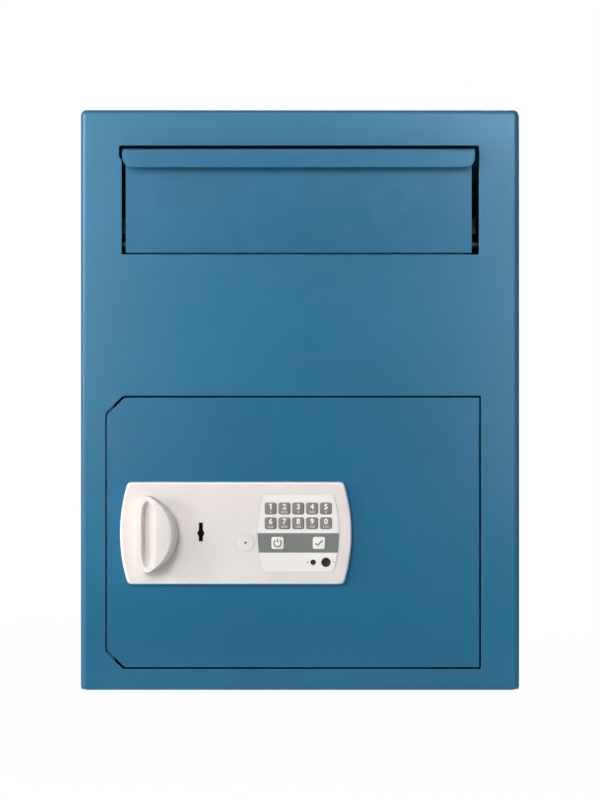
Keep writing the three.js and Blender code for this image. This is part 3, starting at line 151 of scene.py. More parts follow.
class Paint(Shading):  # a material being made round one Principled shader
    def __init__(self, name, **constants):
        self.material = bpy.data.materials.new(name)
        super().__init__(self.material)
        self.shader = self.tree.nodes.new("ShaderNodeBsdfPrincipled")
        self.endIn("ShaderNodeOutputMaterial", Wire(self, self.shader.outputs[0]))
        self.place = self.node("ShaderNodeTexCoord", output="Object")
        self.facing = self.node("ShaderNodeTexCoord", output="Normal")
        self.set(**constants)

    def set(self, **values):
        for word, value in values.items():
            self.plug(self.shader.inputs[socketNames[word]], value)
        return self

    def noise(self, scale, detail, rough, vector=None):
        values = {
            "Vector": vector or self.place,
            "Scale": scale,
            "Detail": detail,
            "Roughness": rough,
        }
        return self.node("ShaderNodeTexNoise", {"noise_dimensions": "3D"}, values)

    def streaks(self, along, own, others, detail, rough):  # noise with another scale on one axis
        scale = tuple(own if letter == along else others for letter in "xyz")
        vector = self.node("ShaderNodeMapping", None, {"Vector": self.place, "Scale": scale})
        return self.noise(1.0, detail, rough, vector)

    def patches(self, scale, detail, rough, low, high):  # noise cut to 0 below low, 1 above high
        return self.ramp(self.noise(scale, detail, rough), (low, 0), (high, 1))

    def cells(self, scale, output="Distance"):
        values = {"Vector": self.place, "Scale": scale}
        return self.node("ShaderNodeTexVoronoi", None, values, output)

    def ramp(self, value, *stops):
        return self.node("ShaderNodeValToRGB", {"stops": stops}, {0: value})

    def mix(self, factor, a, b):
        return self.node("ShaderNodeMix", {"data_type": "RGBA"}, {0: factor, 6: a, 7: b}, 2)

    def bump(self, height, depth, strength):
        values = {"Height": height, "Distance": depth, "Strength": strength}
        return self.node("ShaderNodeBump", None, values)

    def axis(self, letter, vector=None):
        return self.node("ShaderNodeSeparateXYZ", None, {0: vector or self.place}, letter)

    def edges(self, *stops):  # a mask by how far a face turns from the front: 1 is square on
        return self.ramp(abs(self.axis("Y", self.facing)), *stops)


# Powder coat: a fine orange peel with a few pin specks, a slow drift of its colour, and a dust of
# duller spots in its gloss.
powderCoat = {
    "drift": 0.05,  # share that the colour drifts by
    "driftScale": 5.5,
    "specks": 0.10,
    "speckScale": 340,
    "speckShade": 0.6,
    "peelScale": 620,
    "peelDepth": 0.00007,
    "peelStrength": 0.55,
    "grainScale": 2100,
    "dullScale": 60,
    "roughness": (0.27, 0.36),
    "specular": 0.2,
    "thinOnBends": 0.05,  # how far the coat pales on a bend, partly where it thins and partly as a painted highlight
    "bendPaleColour": linear(190, 202, 208),
}


def powderPaint(name, colour, **changes):
    look = {**powderCoat, **changes}
    paint = Paint(name, specular=look["specular"])
    toned = paint.mix(
        paint.patches(look["driftScale"], detail=3.0, rough=0.55, low=0.35, high=0.65),
        shaded(colour, 1 - look["drift"]),
        shaded(colour, 1 + look["drift"]),
    )
    # Paler bends: partly a thinner coat, partly a painted highlight.
    bends = paint.edges((0.30, 0), (0.55, 1), (0.90, 1), (0.985, 0))
    toned = paint.mix(bends * look["thinOnBends"], toned, look["bendPaleColour"])
    specks = paint.ramp(paint.cells(look["speckScale"]), (0.02, 1), (0.06, 0))
    peel = paint.noise(look["peelScale"], detail=2.0, rough=0.5)
    grain = paint.noise(look["grainScale"], detail=1.0, rough=0.5)
    dull = paint.patches(look["dullScale"], detail=4.0, rough=0.6, low=0.4, high=0.7)
    return paint.set(
        baseColor=paint.mix(specks * look["specks"], toned, shaded(colour, look["speckShade"])),
        roughness=between(look["roughness"], dull * 0.6 + grain * 0.4),
        normal=paint.bump(peel * 0.75 + grain * 0.25, look["peelDepth"], look["peelStrength"]),
    ).material


# Bright zinc plate: drawn streaks, faint crystals and a warm clouding.
zincPlate = {
    "light": linear(196, 198, 199),
    "dark": linear(158, 160, 160),
    "warm": linear(196, 190, 170),
    "streakScales": (8, 320),  # along the rolling and across it
    "streakDepth": 0.00003,
    "streakStrength": 0.35,
    "crystals": 0.12,
    "crystalScale": 85,
    "clouding": 0.35,
    "cloudScale": 14,
    "roughness": (0.26, 0.46),
}


def zincPaint(name, along="z"):
    look = zincPlate
    paint = Paint(name, metallic=1.0)
    streaks = paint.streaks(along, *look["streakScales"], detail=3.0, rough=0.6)
    cloud = paint.patches(look["cloudScale"], detail=3.0, rough=0.5, low=0.42, high=0.66)
    base = paint.mix(streaks * 0.8 + 0.1, look["light"], look["dark"])
    base = paint.mix(look["crystals"], base, paint.cells(look["crystalScale"], "Color"))
    base = paint.mix(cloud * look["clouding"], base, look["warm"])
    return paint.set(
        baseColor=base,
        roughness=between(look["roughness"], streaks * 0.5 + cloud * 0.5),
        normal=paint.bump(streaks, look["streakDepth"], look["streakStrength"]),
    ).material


# Ground bar: fine rings left by the wheel, with faint oil marks.
groundBar = {
    "light": linear(214, 216, 217),
    "dark": linear(168, 170, 172),
    "ringScales": (2600, 40),  # along the bar and across it
    "ringDepth": 0.000015,
    "ringStrength": 0.4,
    "oilScale": 55,
    "roughness": (0.14, 0.32),
}

# The same bar blackened: nearly black, and duller.
blackened = {
    "light": linear(30, 29, 28),
    "dark": linear(18, 17, 17),
    "roughness": (0.35, 0.55),
}


def groundPaint(name, along, **changes):
    look = {**groundBar, **changes}
    paint = Paint(name, metallic=1.0)
    rings = paint.streaks(along, *look["ringScales"], detail=2.0, rough=0.55)
    oil = paint.patches(look["oilScale"], detail=3.0, rough=0.55, low=0.45, high=0.62)
    return paint.set(
        baseColor=paint.mix(rings * 0.7 + oil * 0.3, look["light"], look["dark"]),
        roughness=between(look["roughness"], rings * 0.4 + oil * 0.6),
        normal=paint.bump(rings, look["ringDepth"], look["ringStrength"]),
    ).material


# Moulded plastic: a spark eroded skin, slight mottling and rubbed places that shine a little more.
mouldedPlastic = {
    "grainScale": 1900,
    "grainDepth": 0.000035,
    "grainStrength": 0.5,
    "mottle": 0.025,
    "mottleScale": 24,
    "roughness": (0.34, 0.5),
    "specular": 0.3,
}


def plasticPaint(name, colour, tint=None, **changes):
    look = {**mouldedPlastic, **changes}
    paint = Paint(name, specular=look["specular"])
    cloud = paint.patches(look["mottleScale"], detail=4.0, rough=0.55, low=0.38, high=0.64)
    mottle = look["mottle"]
    base = paint.mix(cloud, shaded(colour, 1 - mottle), shaded(colour, 1 + mottle))
    if tint:
        base = tint(paint, base)
    grain = paint.noise(look["grainScale"], detail=2.0, rough=0.6)
    return paint.set(
        baseColor=base,
        roughness=between(look["roughness"], grain * 0.5 + cloud * 0.5),
        normal=paint.bump(grain, look["grainDepth"], look["grainStrength"]),
    ).material


# Finishes of this safe, in a screen's colours
colours = {
    "body": linear(24, 104, 139),
    "door": linear(20, 101, 137),
    # darker than the body, as painted shade on the hopper front
    "hopper": linear(10, 98, 134),
    "cover": linear(40, 40, 41),
    "plate": linear(232, 224, 219),
    "rim": linear(250, 252, 254),
    "panel": linear(244, 238, 233),
    "key": linear(122, 119, 116),
    "band": linear(116, 118, 117),
    "whiteKey": linear(240, 238, 235),
    "print": linear(244, 243, 240),
    "faintPrint": linear(222, 221, 218),
    "greyPrint": linear(96, 93, 90),
    "black": linear(26, 21, 19),
    "rubber": linear(38, 36, 35),
    "board": linear(28, 86, 48),
    "track": linear(60, 140, 84),
    "sleeve": linear(36, 56, 92),
}
band = {"low": 141.4 * mm, "high": 161.5 * mm}  # heights of the keypad's grey stripe
board = {"trackScale": 420, "trackShare": 0.35, "roughness": (0.25, 0.4)}


def paintedRimHighlight(paint, base):  # painted highlight: the plate's bevels are painted a cooler white, standing in for the light that they catch
    return paint.mix(paint.edges((0.45, 1), (0.90, 1), (0.985, 0)), base, colours["rim"])


def printedBand(paint, base):  # the grey stripe that runs across the keypad, between two heights
    height = paint.axis("Z")
    inside = (height > band["low"]) * (1 - (height > band["high"]))
    return paint.mix(inside, base, colours["band"])


def solderMask(paint, base):  # tracks under the mask, as thin lines of a lighter green
    lines = paint.ramp(paint.cells(board["trackScale"]), (0.30, 0), (0.36, 1), (0.42, 0))
    return paint.mix(lines * board["trackShare"], base, colours["track"])


# How rubber, the battery's shrink sleeve and printing differ from moulded plastic
rubber = {"roughness": (0.72, 0.9), "grainScale": 900, "grainDepth": 0.0001, "mottle": 0.15}
sleeve = {"roughness": (0.16, 0.32), "grainScale": 160}
ink = {"roughness": (0.5, 0.6)}
finishes = {
    "body_paint": powderPaint("blue powder coat", colours["body"]),
    "door_paint": powderPaint("blue powder coat of the door", colours["door"]),
    "zinc_plate": zincPaint("zinc plate"),
    "zinc_level": zincPaint("zinc plate rolled across", "x"),
    "bright_steel": groundPaint("ground bolt steel", "x"),
    "bright_upright": groundPaint("ground plunger steel", "z"),
    "cover_paint": powderPaint("dark powder coat of the cover", colours["cover"], thinOnBends=0.0),
    "dark_steel": groundPaint("blackened steel", "y", **blackened),
    "dark_level": groundPaint("blackened steel turned across", "x", **blackened),
    "warm_plastic": plasticPaint("warm grey plastic", colours["plate"]),
    "plate_plastic": plasticPaint("warm grey plastic with painted highlights on its bevels", colours["plate"], paintedRimHighlight),
    "panel_plastic": plasticPaint("keypad plastic", colours["panel"], printedBand),
    "white_key": plasticPaint("white key plastic", colours["whiteKey"]),
    "grey_key": plasticPaint("grey key plastic", colours["key"]),
    "black_plastic": plasticPaint("black plastic", colours["black"], mottle=0.12, specular=0.15),
    "buffer_rubber": plasticPaint("black rubber", colours["rubber"], **rubber),
    "green_board": plasticPaint(
        "board with solder mask", colours["board"], solderMask, roughness=board["roughness"]
    ),
    "pack_wrap": plasticPaint("shrink sleeve", colours["sleeve"], **sleeve),
    "key_print": plasticPaint("white key print", colours["print"], **ink),
    "faint_print": plasticPaint("faint key print", colours["faintPrint"], **ink),
    "grey_print": plasticPaint("grey key print", colours["greyPrint"], **ink),
}
slotOf = {part["node"]: part["material_slot"] for part in frame["record"]["subparts"]}
finishOf = {node: finishes[slot] for node, slot in slotOf.items()}
finishOf.update(  # pieces that look different from the rest of their slot
    # The hopper front's darker blue is painted shade: a darker copy of the body's paint.
    hopper_front=powderPaint("blue powder coat of the hopper darkened as painted shade", colours["hopper"]),
    solenoid_plunger=finishes["bright_upright"],
    keypad_panel=finishes["panel_plastic"],
    lock_plate=finishes["plate_plastic"],
    anti_fishing_comb=finishes["zinc_level"],
    tilt_pin_left=finishes["dark_level"],
    tilt_pin_right=finishes["dark_level"],
)
for node, solid in frame["nodes"].items():
    solid.data.materials.clear()
    solid.data.materials.append(finishOf[node])
print("finishes:", len(finishes), "on", len(finishOf), "solids")


# Piece kit
bodyOf = {
    node: body
    for body, nodes in frame["record"]["behaviour"]["bodies"].items()
    for node in nodes
}
mending = {
    "weld": 2e-6,  # points nearer than this are one
    "thin": 1e-7,  # faces thinner than this go
    "flat": 0.6,  # degrees within which two faces are one
    "sharp": 32,  # degrees from which an edge of a solid is rounded
    "sharpOfBevel": 20,  # and from which one stays sharp, on a solid with bevels of its own
    "segments": 2,
}


def linked(name, data):
    made = bpy.data.objects.new(name, data)
    bpy.context.scene.collection.objects.link(made)
    return made


def piece(name, mesh, finish, body, replaces=()):
    made = linked(name, mesh)
    mesh.materials.clear()
    mesh.materials.append(finish)
    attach(made, body)
    if replaces:
        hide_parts(*replaces)
    return made


def standIn(name, mesh, finish, node):  # a piece in the place of a solid, on the solid's body
    return piece(name, mesh, finish, bodyOf[node], [node])


def middleOf(node):  # X and Z of a solid's middle, in millimetres
    low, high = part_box(node)
    return (low.x + high.x) / 2 / mm, (low.z + high.z) / 2 / mm


# A closed mesh through rings of points in millimetres: quads join each ring to the next, the last
# column to the first, and a lid closes the first ring and the last.
def ringMesh(name, rings, sharp=None, weld=False):
    rows, columns = rings.shape[:2]
    r, c = np.meshgrid(np.arange(rows - 1), np.arange(columns), indexing="ij")
    here, beside = r * columns + c, r * columns + (c + 1) % columns
    quads = np.stack((here, beside, beside + columns, here + columns), -1).reshape(-1, 4)
    lids = [list(range(columns)), list(range((rows - 1) * columns, rows * columns))]
    mesh = bpy.data.meshes.new(name)
    mesh.from_pydata((rings * mm).reshape(-1, 3).tolist(), [], quads.tolist() + lids)
    mended = bmesh.new()
    mended.from_mesh(mesh)
    if weld:
        bmesh.ops.remove_doubles(mended, verts=mended.verts, dist=mending["weld"])
        bmesh.ops.dissolve_degenerate(mended, dist=mending["thin"], edges=mended.edges)
    bmesh.ops.recalc_face_normals(mended, faces=mended.faces)
    mended.to_mesh(mesh)
    mended.free()
    if sharp:
        mesh.shade_smooth()
        mesh.set_sharp_from_angle(angle=radians(sharp))
    return mesh


# A welded copy of a solid, with its flat faces whole and its sharp edges rounded by a Bevel. Where
# the solid has its own bevels the edge is 0, and only its round outline is smoothed. Weighted
# normals keep the light even over each flat face, up to the bend beside it.
def softened(node, edge):
    mesh = frame["nodes"][node].data.copy()
    mesh.name = node + "_soft"
    mended = bmesh.new()
    mended.from_mesh(mesh)
    bmesh.ops.remove_doubles(mended, verts=mended.verts, dist=mending["weld"])
    bmesh.ops.dissolve_limit(
        mended,
        angle_limit=radians(mending["flat"]),
        verts=mended.verts,
        edges=mended.edges,
        use_dissolve_boundaries=False,
    )
    mended.to_mesh(mesh)
    mended.free()
    mesh.shade_smooth()
    mesh.set_sharp_from_angle(angle=radians(mending["sharp" if edge else "sharpOfBevel"]))
    made = standIn(node + "_soft", mesh, finishOf[node], node)
    if edge:
        bevel = made.modifiers.new("rounded edges", "BEVEL")
        bevel.width = edge
        bevel.segments = mending["segments"]
        bevel.limit_method = "ANGLE"
        bevel.angle_limit = radians(mending["sharp"])
        bevel.use_clamp_overlap = False
    flat = made.modifiers.new("flat faces stay flat", "WEIGHTED_NORMAL")
    flat.mode = "FACE_AREA"
    flat.keep_sharp = True


# Sheet metal and housings: how far each one's edges are rounded, in millimetres
softEdges = {
    "front_frame": 0.45,
    "body_wrap": 0.4,
    "hopper_front": 0.35,
    "hopper_bin": 0.3,
    "door_plate": 0.35,
    "lock_plate": 0,
    "keypad_panel": 0,
    "back_plate": 0.4,
    "base_plate": 0.4,
    "boltwork_cover": 0.3,
    "battery_lid": 0.3,
    "lock_case": 0.5,
    "bolt_carrier": 0.35,
    "bolt_guide": 0.35,
    "pivot_lug_top": 0.5,
    "pivot_lug_bottom": 0.5,
    "hinge_plate_top": 0.5,
    "hinge_plate_bottom": 0.5,
    "drive_cam": 0.35,
    "release_slide": 0.3,
    "door_stop": 0.35,
    "tilt_bracket_left": 0.35,
    "tilt_bracket_right": 0.35,
}
for node, edge in softEdges.items():
    softened(node, edge * mm)
print("softened solids:", len(softEdges))


# Turning handle, in millimetres from its axis and, for heights, from its foot
handle = {
    "axis": (-146.2, 160.5),  # X and Z
    "foot": -208.8,  # Y
    "half": 39.5,  # from the middle to a tip
    "left": -21.1,
    "waist": 20.0,  # half of the straight part of the left edge
    "tip": -9.6,  # X at both tips
    "footRight": 20.8,
    "faceRight": 14.4,
    "heights": (15.2, 19.4, 18.7),  # at the left edge, the ridge and the face's right edge
    "crownPowers": (1.15, 2.1),  # of the rise to the ridge and the fall from it
    "ridge": -2.2,
    "grooveEnd": -11.0,  # both of the groove's sides bend in to this line
    "grooveSides": (5.9, 9.2),  # from that line at mid height
    "grooveHalf": 33.8,
    "grooveDepth": 12.4,
    "floorPower": 1.5,  # with which the groove's floor rises to the right
    "wall": 3.0,  # width of the steep wall on its left
    "crest": 0.8,  # rounding where the floor meets the crown
    "rounds": (1.3, 0.5, 1.4),  # of the face's left edge, right edge and ends
    "rows": 141,
    "columns": 121,
    "wallSteps": 9,
    "sharp": 50,  # degrees from which an edge stays sharp
}


# The crowned face rises to the ridge and falls from it, each by a power of the way across.
def crownHeight(look, x):
    low, crest, fall = look["heights"]
    risePower, fallPower = look["crownPowers"]
    rise = np.clip((x - look["left"]) / (look["ridge"] - look["left"]), 0, 1)
    drop = np.clip((x - look["ridge"]) / (look["faceRight"] - look["ridge"]), 0, 1)
    return low + (crest - low) * rise**risePower - (crest - fall) * drop**fallPower


# Between two edges that bend in as a lens, the groove dips by one less a power of the way across,
# and half the sum of the dip and its root rounds it off. A smooth step makes its left wall.
def grooveDip(look, x, level):
    tiny = 1e-6  # keeps the lens from closing at its ends
    beyond = 1.4  # widths of the groove over which its floor is worked out
    end = np.clip(abs(level) / look["grooveHalf"], 0, 1)
    lens = np.sqrt(1 - end**4) + tiny
    toLeft, toRight = look["grooveSides"]
    inner = look["grooveEnd"] - toLeft * lens
    across = (x - inner) / ((toLeft + toRight) * lens)
    depth = look["grooveDepth"] * np.sqrt(lens) * (abs(level) < look["grooveHalf"])
    steep = np.clip((x - inner) / look["wall"], 0, 1)
    steep = steep * steep * (3 - 2 * steep)
    dip = depth * (1 - np.clip(across, 0, beyond) ** look["floorPower"])
    crest = look["crest"] * depth / look["grooveDepth"]
    return steep * np.where(depth > 0, 0.5 * (dip + np.sqrt(dip**2 + crest)), 0)


def rounding(distance, radius):  # how far a round edge falls, at a distance from the edge
    near = np.clip(1 - distance / radius, 0, 1)
    return radius * (1 - np.sqrt(1 - near**2))


# Each row is a level of the handle: X, height over the foot, and level. Across it the height is the
# crown less the groove, with round edges. The left wall runs straight down to the foot, and the
# right wall as a quarter of an ellipse. The left edge bends in to the tips as a square root, and
# the right edges are arcs of circles through the tips.
def handleSurface(look):
    level = look["half"] * np.sin(np.linspace(-pi / 2, pi / 2, look["rows"]))[:, None]
    past = np.clip((abs(level) - look["waist"]) / (look["half"] - look["waist"]), 0, 1)
    left = look["left"] + (look["tip"] - look["left"]) * (1 - np.sqrt(1 - past)) ** 2

    def arcEdge(reachTo):
        reach = reachTo - look["tip"]
        radius = (look["half"] ** 2 + reach**2) / (2 * reach)
        return reachTo - radius + np.sqrt(radius**2 - level**2)

    right, foot = arcEdge(look["faceRight"]), arcEdge(look["footRight"])
    x = left + np.linspace(0, 1, look["columns"])[None, :] * (right - left)
    leftRound, rightRound, endRound = look["rounds"]
    height = crownHeight(look, x) - grooveDip(look, x, level)
    height = height - rounding(x - left, leftRound) - rounding(right - x, rightRound)
    height = height - rounding(look["half"] - abs(level), endRound)
    turn = np.linspace(0, pi / 2, look["wallSteps"])[None, :]
    down = 1 - np.cos(turn)
    rightX = right + (foot - right) * np.sin(turn)
    walls = [(left, height[:, :1] * down), (x, height), (rightX, height[:, -1:] * (1 - down))]
    leftWall, face, rightWall = [np.stack(np.broadcast_arrays(*wall, level), -1) for wall in walls]
    return np.concatenate([leftWall[:, :-1], face, rightWall[:, 1:]], 1)


def handleForm(look):  # its rows close across the foot, against the lock plate
    x, height, level = np.moveaxis(handleSurface(look), -1, 0)
    ax, az = look["axis"]
    rows = np.stack([x + ax, look["foot"] - height, level + az], -1)
    return ringMesh("turning_handle_form", rows, look["sharp"], weld=True)


standIn("handle_form", handleForm(handle), finishes["warm_plastic"], "turning_handle")
print("handle shaped")


# Keys, in millimetres
keyLook = {
    "flange": 0.8,  # of the solid's skirt around the cap
    "corner": 2.2,  # radius, as the front is seen
    "front": -209.6,  # Y
    "edge": 0.55,  # radius towards the front
    "edgeSteps": 5,
    "skirtBack": -206.25,  # Y where a cap ends, behind the panel
    "around": 44,
    "sharp": 60,  # degrees, as for the handle
}


# A rounded square: quarter circles joined by the straight sides, walked at even angles.
def roundedSquare(halfWidth, corner, count):
    a = np.linspace(0, 2 * pi, count, endpoint=False) + pi / count
    quarter = np.floor(a / (pi / 2)) % 4
    reach = halfWidth - corner
    cx = reach * np.where((quarter == 0) | (quarter == 3), 1, -1)
    cz = reach * np.where(quarter < 2, 1, -1)
    return cx + corner * np.cos(a), cz + corner * np.sin(a)


# Outlines of a rounded square stacked along -Y, drawn in by a quarter circle at the front edge and
# closed by a flat face at each end.
def keyForm(look, name, x, z, width):
    angles = np.linspace(0, pi / 2, look["edgeSteps"])
    insets = [0.0, *(look["edge"] * (1 - np.cos(angles)))]
    levels = [look["skirtBack"], *(look["front"] + look["edge"] * (1 - np.sin(angles)))]
    rings = []
    for inset, y in zip(insets, levels):
        across, up = roundedSquare(width / 2 - inset, look["corner"] - inset, look["around"])
        rings.append(np.stack([x + across, np.full(len(up), y), z + up], -1))
    return ringMesh(name, np.stack(rings), look["sharp"])


keyMiddle = {n: middleOf(n) for n in frame["nodes"] if n.startswith("key_") and n != "key_barrel"}
for node, (x, z) in keyMiddle.items():
    low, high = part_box(node)
    width = (high.x - low.x) / mm - 2 * keyLook["flange"]
    standIn(node + "_cap", keyForm(keyLook, node + "_cap", x, z, width), finishOf[node], node)
print("keys shaped:", len(keyMiddle))


# Round cap, in millimetres
cap = {
    "radius": 9.1,
    "foot": -206.0,  # Y
    "face": -208.8,  # Y at the face's edge
    "edge": 0.4,  # radius of that edge
    "edgeSteps": 7,
    "dome": 0.35,  # how far the middle stands out
    "domeSteps": 14,
    "pinhole": 1.05,  # radius
    "pinholeEdge": (0.15, 0.2),  # width and depth of its bevel
    "pinholeShade": 0.08,  # how far its painted shade reaches past its wall
    "pinDepth": 2.2,
    "centre": 0.01,  # radius of the first ring and the last
    "around": 96,
    "sharp": 40,
}


# A profile of radius and depth, from the foot's middle out, over the rounded edge and the domed
# face and down into the pinhole, turned round the cap's axis.
def capForm(look, x, z):
    a = np.linspace(0, pi / 2, look["edgeSteps"])
    reach = look["radius"] - look["edge"]
    depths = look["face"] + look["edge"] * (1 - np.sin(a))
    edge = np.stack([reach + look["edge"] * np.cos(a), depths], -1)
    bevelWidth, bevelDepth = look["pinholeEdge"]
    r = np.linspace(reach, look["pinhole"] + bevelWidth, look["domeSteps"])[1:]
    face = np.stack([r, look["face"] - look["dome"] * (1 - (r / reach) ** 2)], -1)
    brink, floor = face[-1, 1] + bevelDepth, face[-1, 1] + look["pinDepth"]
    hole = [(look["pinhole"], brink), (look["pinhole"], floor), (look["centre"], floor)]
    back = [(look["centre"], look["foot"]), (look["radius"], look["foot"])]
    profile = np.concatenate([back, edge, face, hole])
    turn = np.linspace(0, 2 * pi, look["around"], endpoint=False)
    radius, depth = profile[:, :1], profile[:, 1:]
    rings = np.broadcast_arrays(x + radius * np.cos(turn), depth, z + radius * np.sin(turn))
    return ringMesh("round_cap_form", np.stack(rings, -1), look["sharp"])


capX, capZ = middleOf("round_cap")


def pinholeShade(paint, base):  # painted shade: dark within the pinhole's radius of the cap's axis
    x, z = paint.axis("X") - capX * mm, paint.axis("Z") - capZ * mm
    outside = (x * x + z * z) > ((cap["pinhole"] + cap["pinholeShade"]) * mm) ** 2
    return paint.mix(outside, colours["black"], base)


capFinish = plasticPaint("warm grey plastic with painted shade in its pinhole", colours["plate"], pinholeShade)
standIn("cap_form", capForm(cap, capX, capZ), capFinish, "round_cap")
print("cap shaped at", round(capX, 2), round(capZ, 2))


# Printed marks, in millimetres
marks = {
    "digitSize": 7.8,
    "bold": 0.24,  # how far each outline grows
    "digitRise": 2.0,  # above a key's middle
    "oneBar": [(0.2, 3.05), (0.2, 0.0), (0.2, -3.05)],  # the 1 has a flag, unlike the font's
    "oneFlag": [(-1.7, 1.75), (-1.1, 2.12), (-0.5, 2.5)],
    "oneWidths": (1.5, 1.1),
    "letters": ("A", "BCD", "E", "FGH", "IJ", "KLM", "NOP", "QRS", "TUV", "XYZ"),
    "letterSize": 3.1,
    "letterBold": 0.05,
    "letterDrop": 3.7,  # below a key's middle
    "thickness": 0.05,
    "curveSteps": 5,
    "keyFace": keyLook["front"],
    "panelFace": -208.6,  # Y
}
signs = {
    "ring": 3.7,  # radius
    "ringDrop": 0.35,
    "ringOpen": (128, 412),  # degrees from which and to which the power sign's ring runs
    "ringSteps": 41,
    "ringWidth": 1.25,
    "powerBar": (0.6, 4.4),  # its foot and head above the power key's middle
    "powerBarSteps": 5,
    "powerBarWidth": 1.15,
    "tick": [(-3.7, -0.2), (-2.45, -1.5), (-1.4, -2.5), (1.2, 0.35), (3.9, 3.0)],
    "tickWidth": 1.25,
    "minusAside": 6.0,  # from the small stud
    "minusHalf": 1.2,
    "minusWidth": 0.8,
    "plusAside": 7.6,  # from the large stud
    "plusHalf": 0.9,
    "plusWidth": 0.5,
}
printed = []


def mark(name, mesh, finish, body):
    printed.append(piece(name, mesh, finishes[finish], body))


def flatText(name, text, size, bold, x, y, z):
    curve = bpy.data.curves.new(name + "_text", "FONT")
    curve.body = text
    curve.align_x = "CENTER"
    curve.align_y = "CENTER"
    curve.size = size * mm
    curve.offset = bold * mm
    curve.extrude = marks["thickness"] * mm
    curve.resolution_u = marks["curveSteps"]
    written = linked(name + "_text", curve)
    bpy.context.view_layer.update()
    evaluated = written.evaluated_get(bpy.context.evaluated_depsgraph_get())
    mesh = bpy.data.meshes.new_from_object(evaluated)
    bpy.data.objects.remove(written)
    mesh.name = name
    flat = np.empty(len(mesh.vertices) * 3)
    mesh.vertices.foreach_get("co", flat)
    flat = flat.reshape(-1, 3)
    flat[:, :2] -= (flat[:, :2].max(0) + flat[:, :2].min(0)) / 2
    stood = np.stack([flat[:, 0] + x * mm, y * mm - flat[:, 2], flat[:, 1] + z * mm], -1)
    mesh.vertices.foreach_set("co", stood.ravel())
    mesh.update()
    return mesh


# A stroke: a flat bar's four corners carried along a path in X and Z.
def stroke(name, path, width, y):
    path = np.array(path, float)
    ahead = np.gradient(path, axis=0)
    ahead /= np.linalg.norm(ahead, axis=1)[:, None]
    side = np.stack([-ahead[:, 1], ahead[:, 0]], -1) * width / 2
    thick = marks["thickness"]
    corners = [(side, -thick), (-side, -thick), (-side, thick), (side, thick)]
    edges = []
    for aside, deep in corners:
        across, up = (path + aside).T
        edges.append(np.stack([across, np.full(len(path), y + deep), up], -1))
    return ringMesh(name, np.stack(edges, 1))


for digit, letters in zip("1234567890", marks["letters"]):
    x, z = keyMiddle["key_" + digit]
    button, face = "button_" + digit, marks["keyFace"]
    middle = z + marks["digitRise"]
    if digit == "1":
        barWidth, flagWidth = marks["oneWidths"]
        flag = stroke("digit_1_flag", np.add(marks["oneFlag"], (x, middle)), flagWidth, face)
        mark("digit_1_flag", flag, "key_print", button)
        mesh = stroke("digit_1", np.add(marks["oneBar"], (x, middle)), barWidth, face)
    else:
        size, bold = marks["digitSize"], marks["bold"]
        mesh = flatText("digit_" + digit, digit, size, bold, x, face, middle)
    mark("digit_" + digit, mesh, "key_print", button)
    size, bold = marks["letterSize"], marks["letterBold"]
    mesh = flatText("letters_" + digit, letters, size, bold, x, face, z - marks["letterDrop"])
    mark("letters_" + digit, mesh, "faint_print", button)


def sign(name, path, width, y, body):
    mark(name, stroke(name, path, width, y), "grey_print", body)


def bar(x, z, alongX, alongZ):  # a straight path through a middle
    return [(x - alongX, z - alongZ), (x, z), (x + alongX, z + alongZ)]


px, pz = keyMiddle["key_power"]
turn = np.radians(np.linspace(*signs["ringOpen"], signs["ringSteps"]))
ring = np.stack([np.cos(turn), np.sin(turn)], -1) * signs["ring"] + (px, pz - signs["ringDrop"])
heights = pz + np.linspace(*signs["powerBar"], signs["powerBarSteps"])
powerBar = np.stack([np.full(len(heights), px), heights], -1)
sign("power_ring", ring, signs["ringWidth"], marks["keyFace"], "button_power")
sign("power_bar", powerBar, signs["powerBarWidth"], marks["keyFace"], "button_power")
tick = np.add(signs["tick"], keyMiddle["key_enter"])
sign("tick", tick, signs["tickWidth"], marks["keyFace"], "button_enter")

smallX, studZ = middleOf("contact_small")
minus = bar(smallX - signs["minusAside"], studZ, signs["minusHalf"], 0)
sign("minus_mark", minus, signs["minusWidth"], marks["panelFace"], "door")
plusX = middleOf("contact_large")[0] + signs["plusAside"]
half, width = signs["plusHalf"], signs["plusWidth"]
sign("plus_mark_level", bar(plusX, studZ, half, 0), width, marks["panelFace"], "door")
sign("plus_mark_upright", bar(plusX, studZ, 0, half), width, marks["panelFace"], "door")
print("marks printed:", len(printed))


# Floor, light and camera, in metres
stage = {
    "floor": 12.0,
    "floorColour": (0.86, 0.86, 0.86, 1),
    "floorGlow": 0.97,  # share of the floor near the safe that the camera sees as plain white
    "allWhite": (0.6, 2.4),  # from the first of these distances the share grows, to 1 at the second
    "world": 0.15,  # strength of the white all round, where nothing sees it directly
    "front": -0.2,  # Y of the safe's front
    "distance": 6.0,  # from the camera to that front
    "frameHeight": 0.8232,  # that the picture takes in there
    "eye": 0.2983,  # height of the camera
    "sensor": 36.0,  # millimetres
}

# A dark card beside the safe and a little taller, which shows only as a reflection in its right
# side.
card = {
    "x": 0.62,
    "front": -0.25,
    "back": 1.6,
    "top": 0.64,
    "shade": (0.02, 0.02, 0.022, 1),
}


def stageSheet(name, corners, material):
    mesh = bpy.data.meshes.new(name)
    mesh.from_pydata(corners, [], [(0, 1, 2, 3)])
    mesh.materials.append(material)
    return linked(name, mesh)


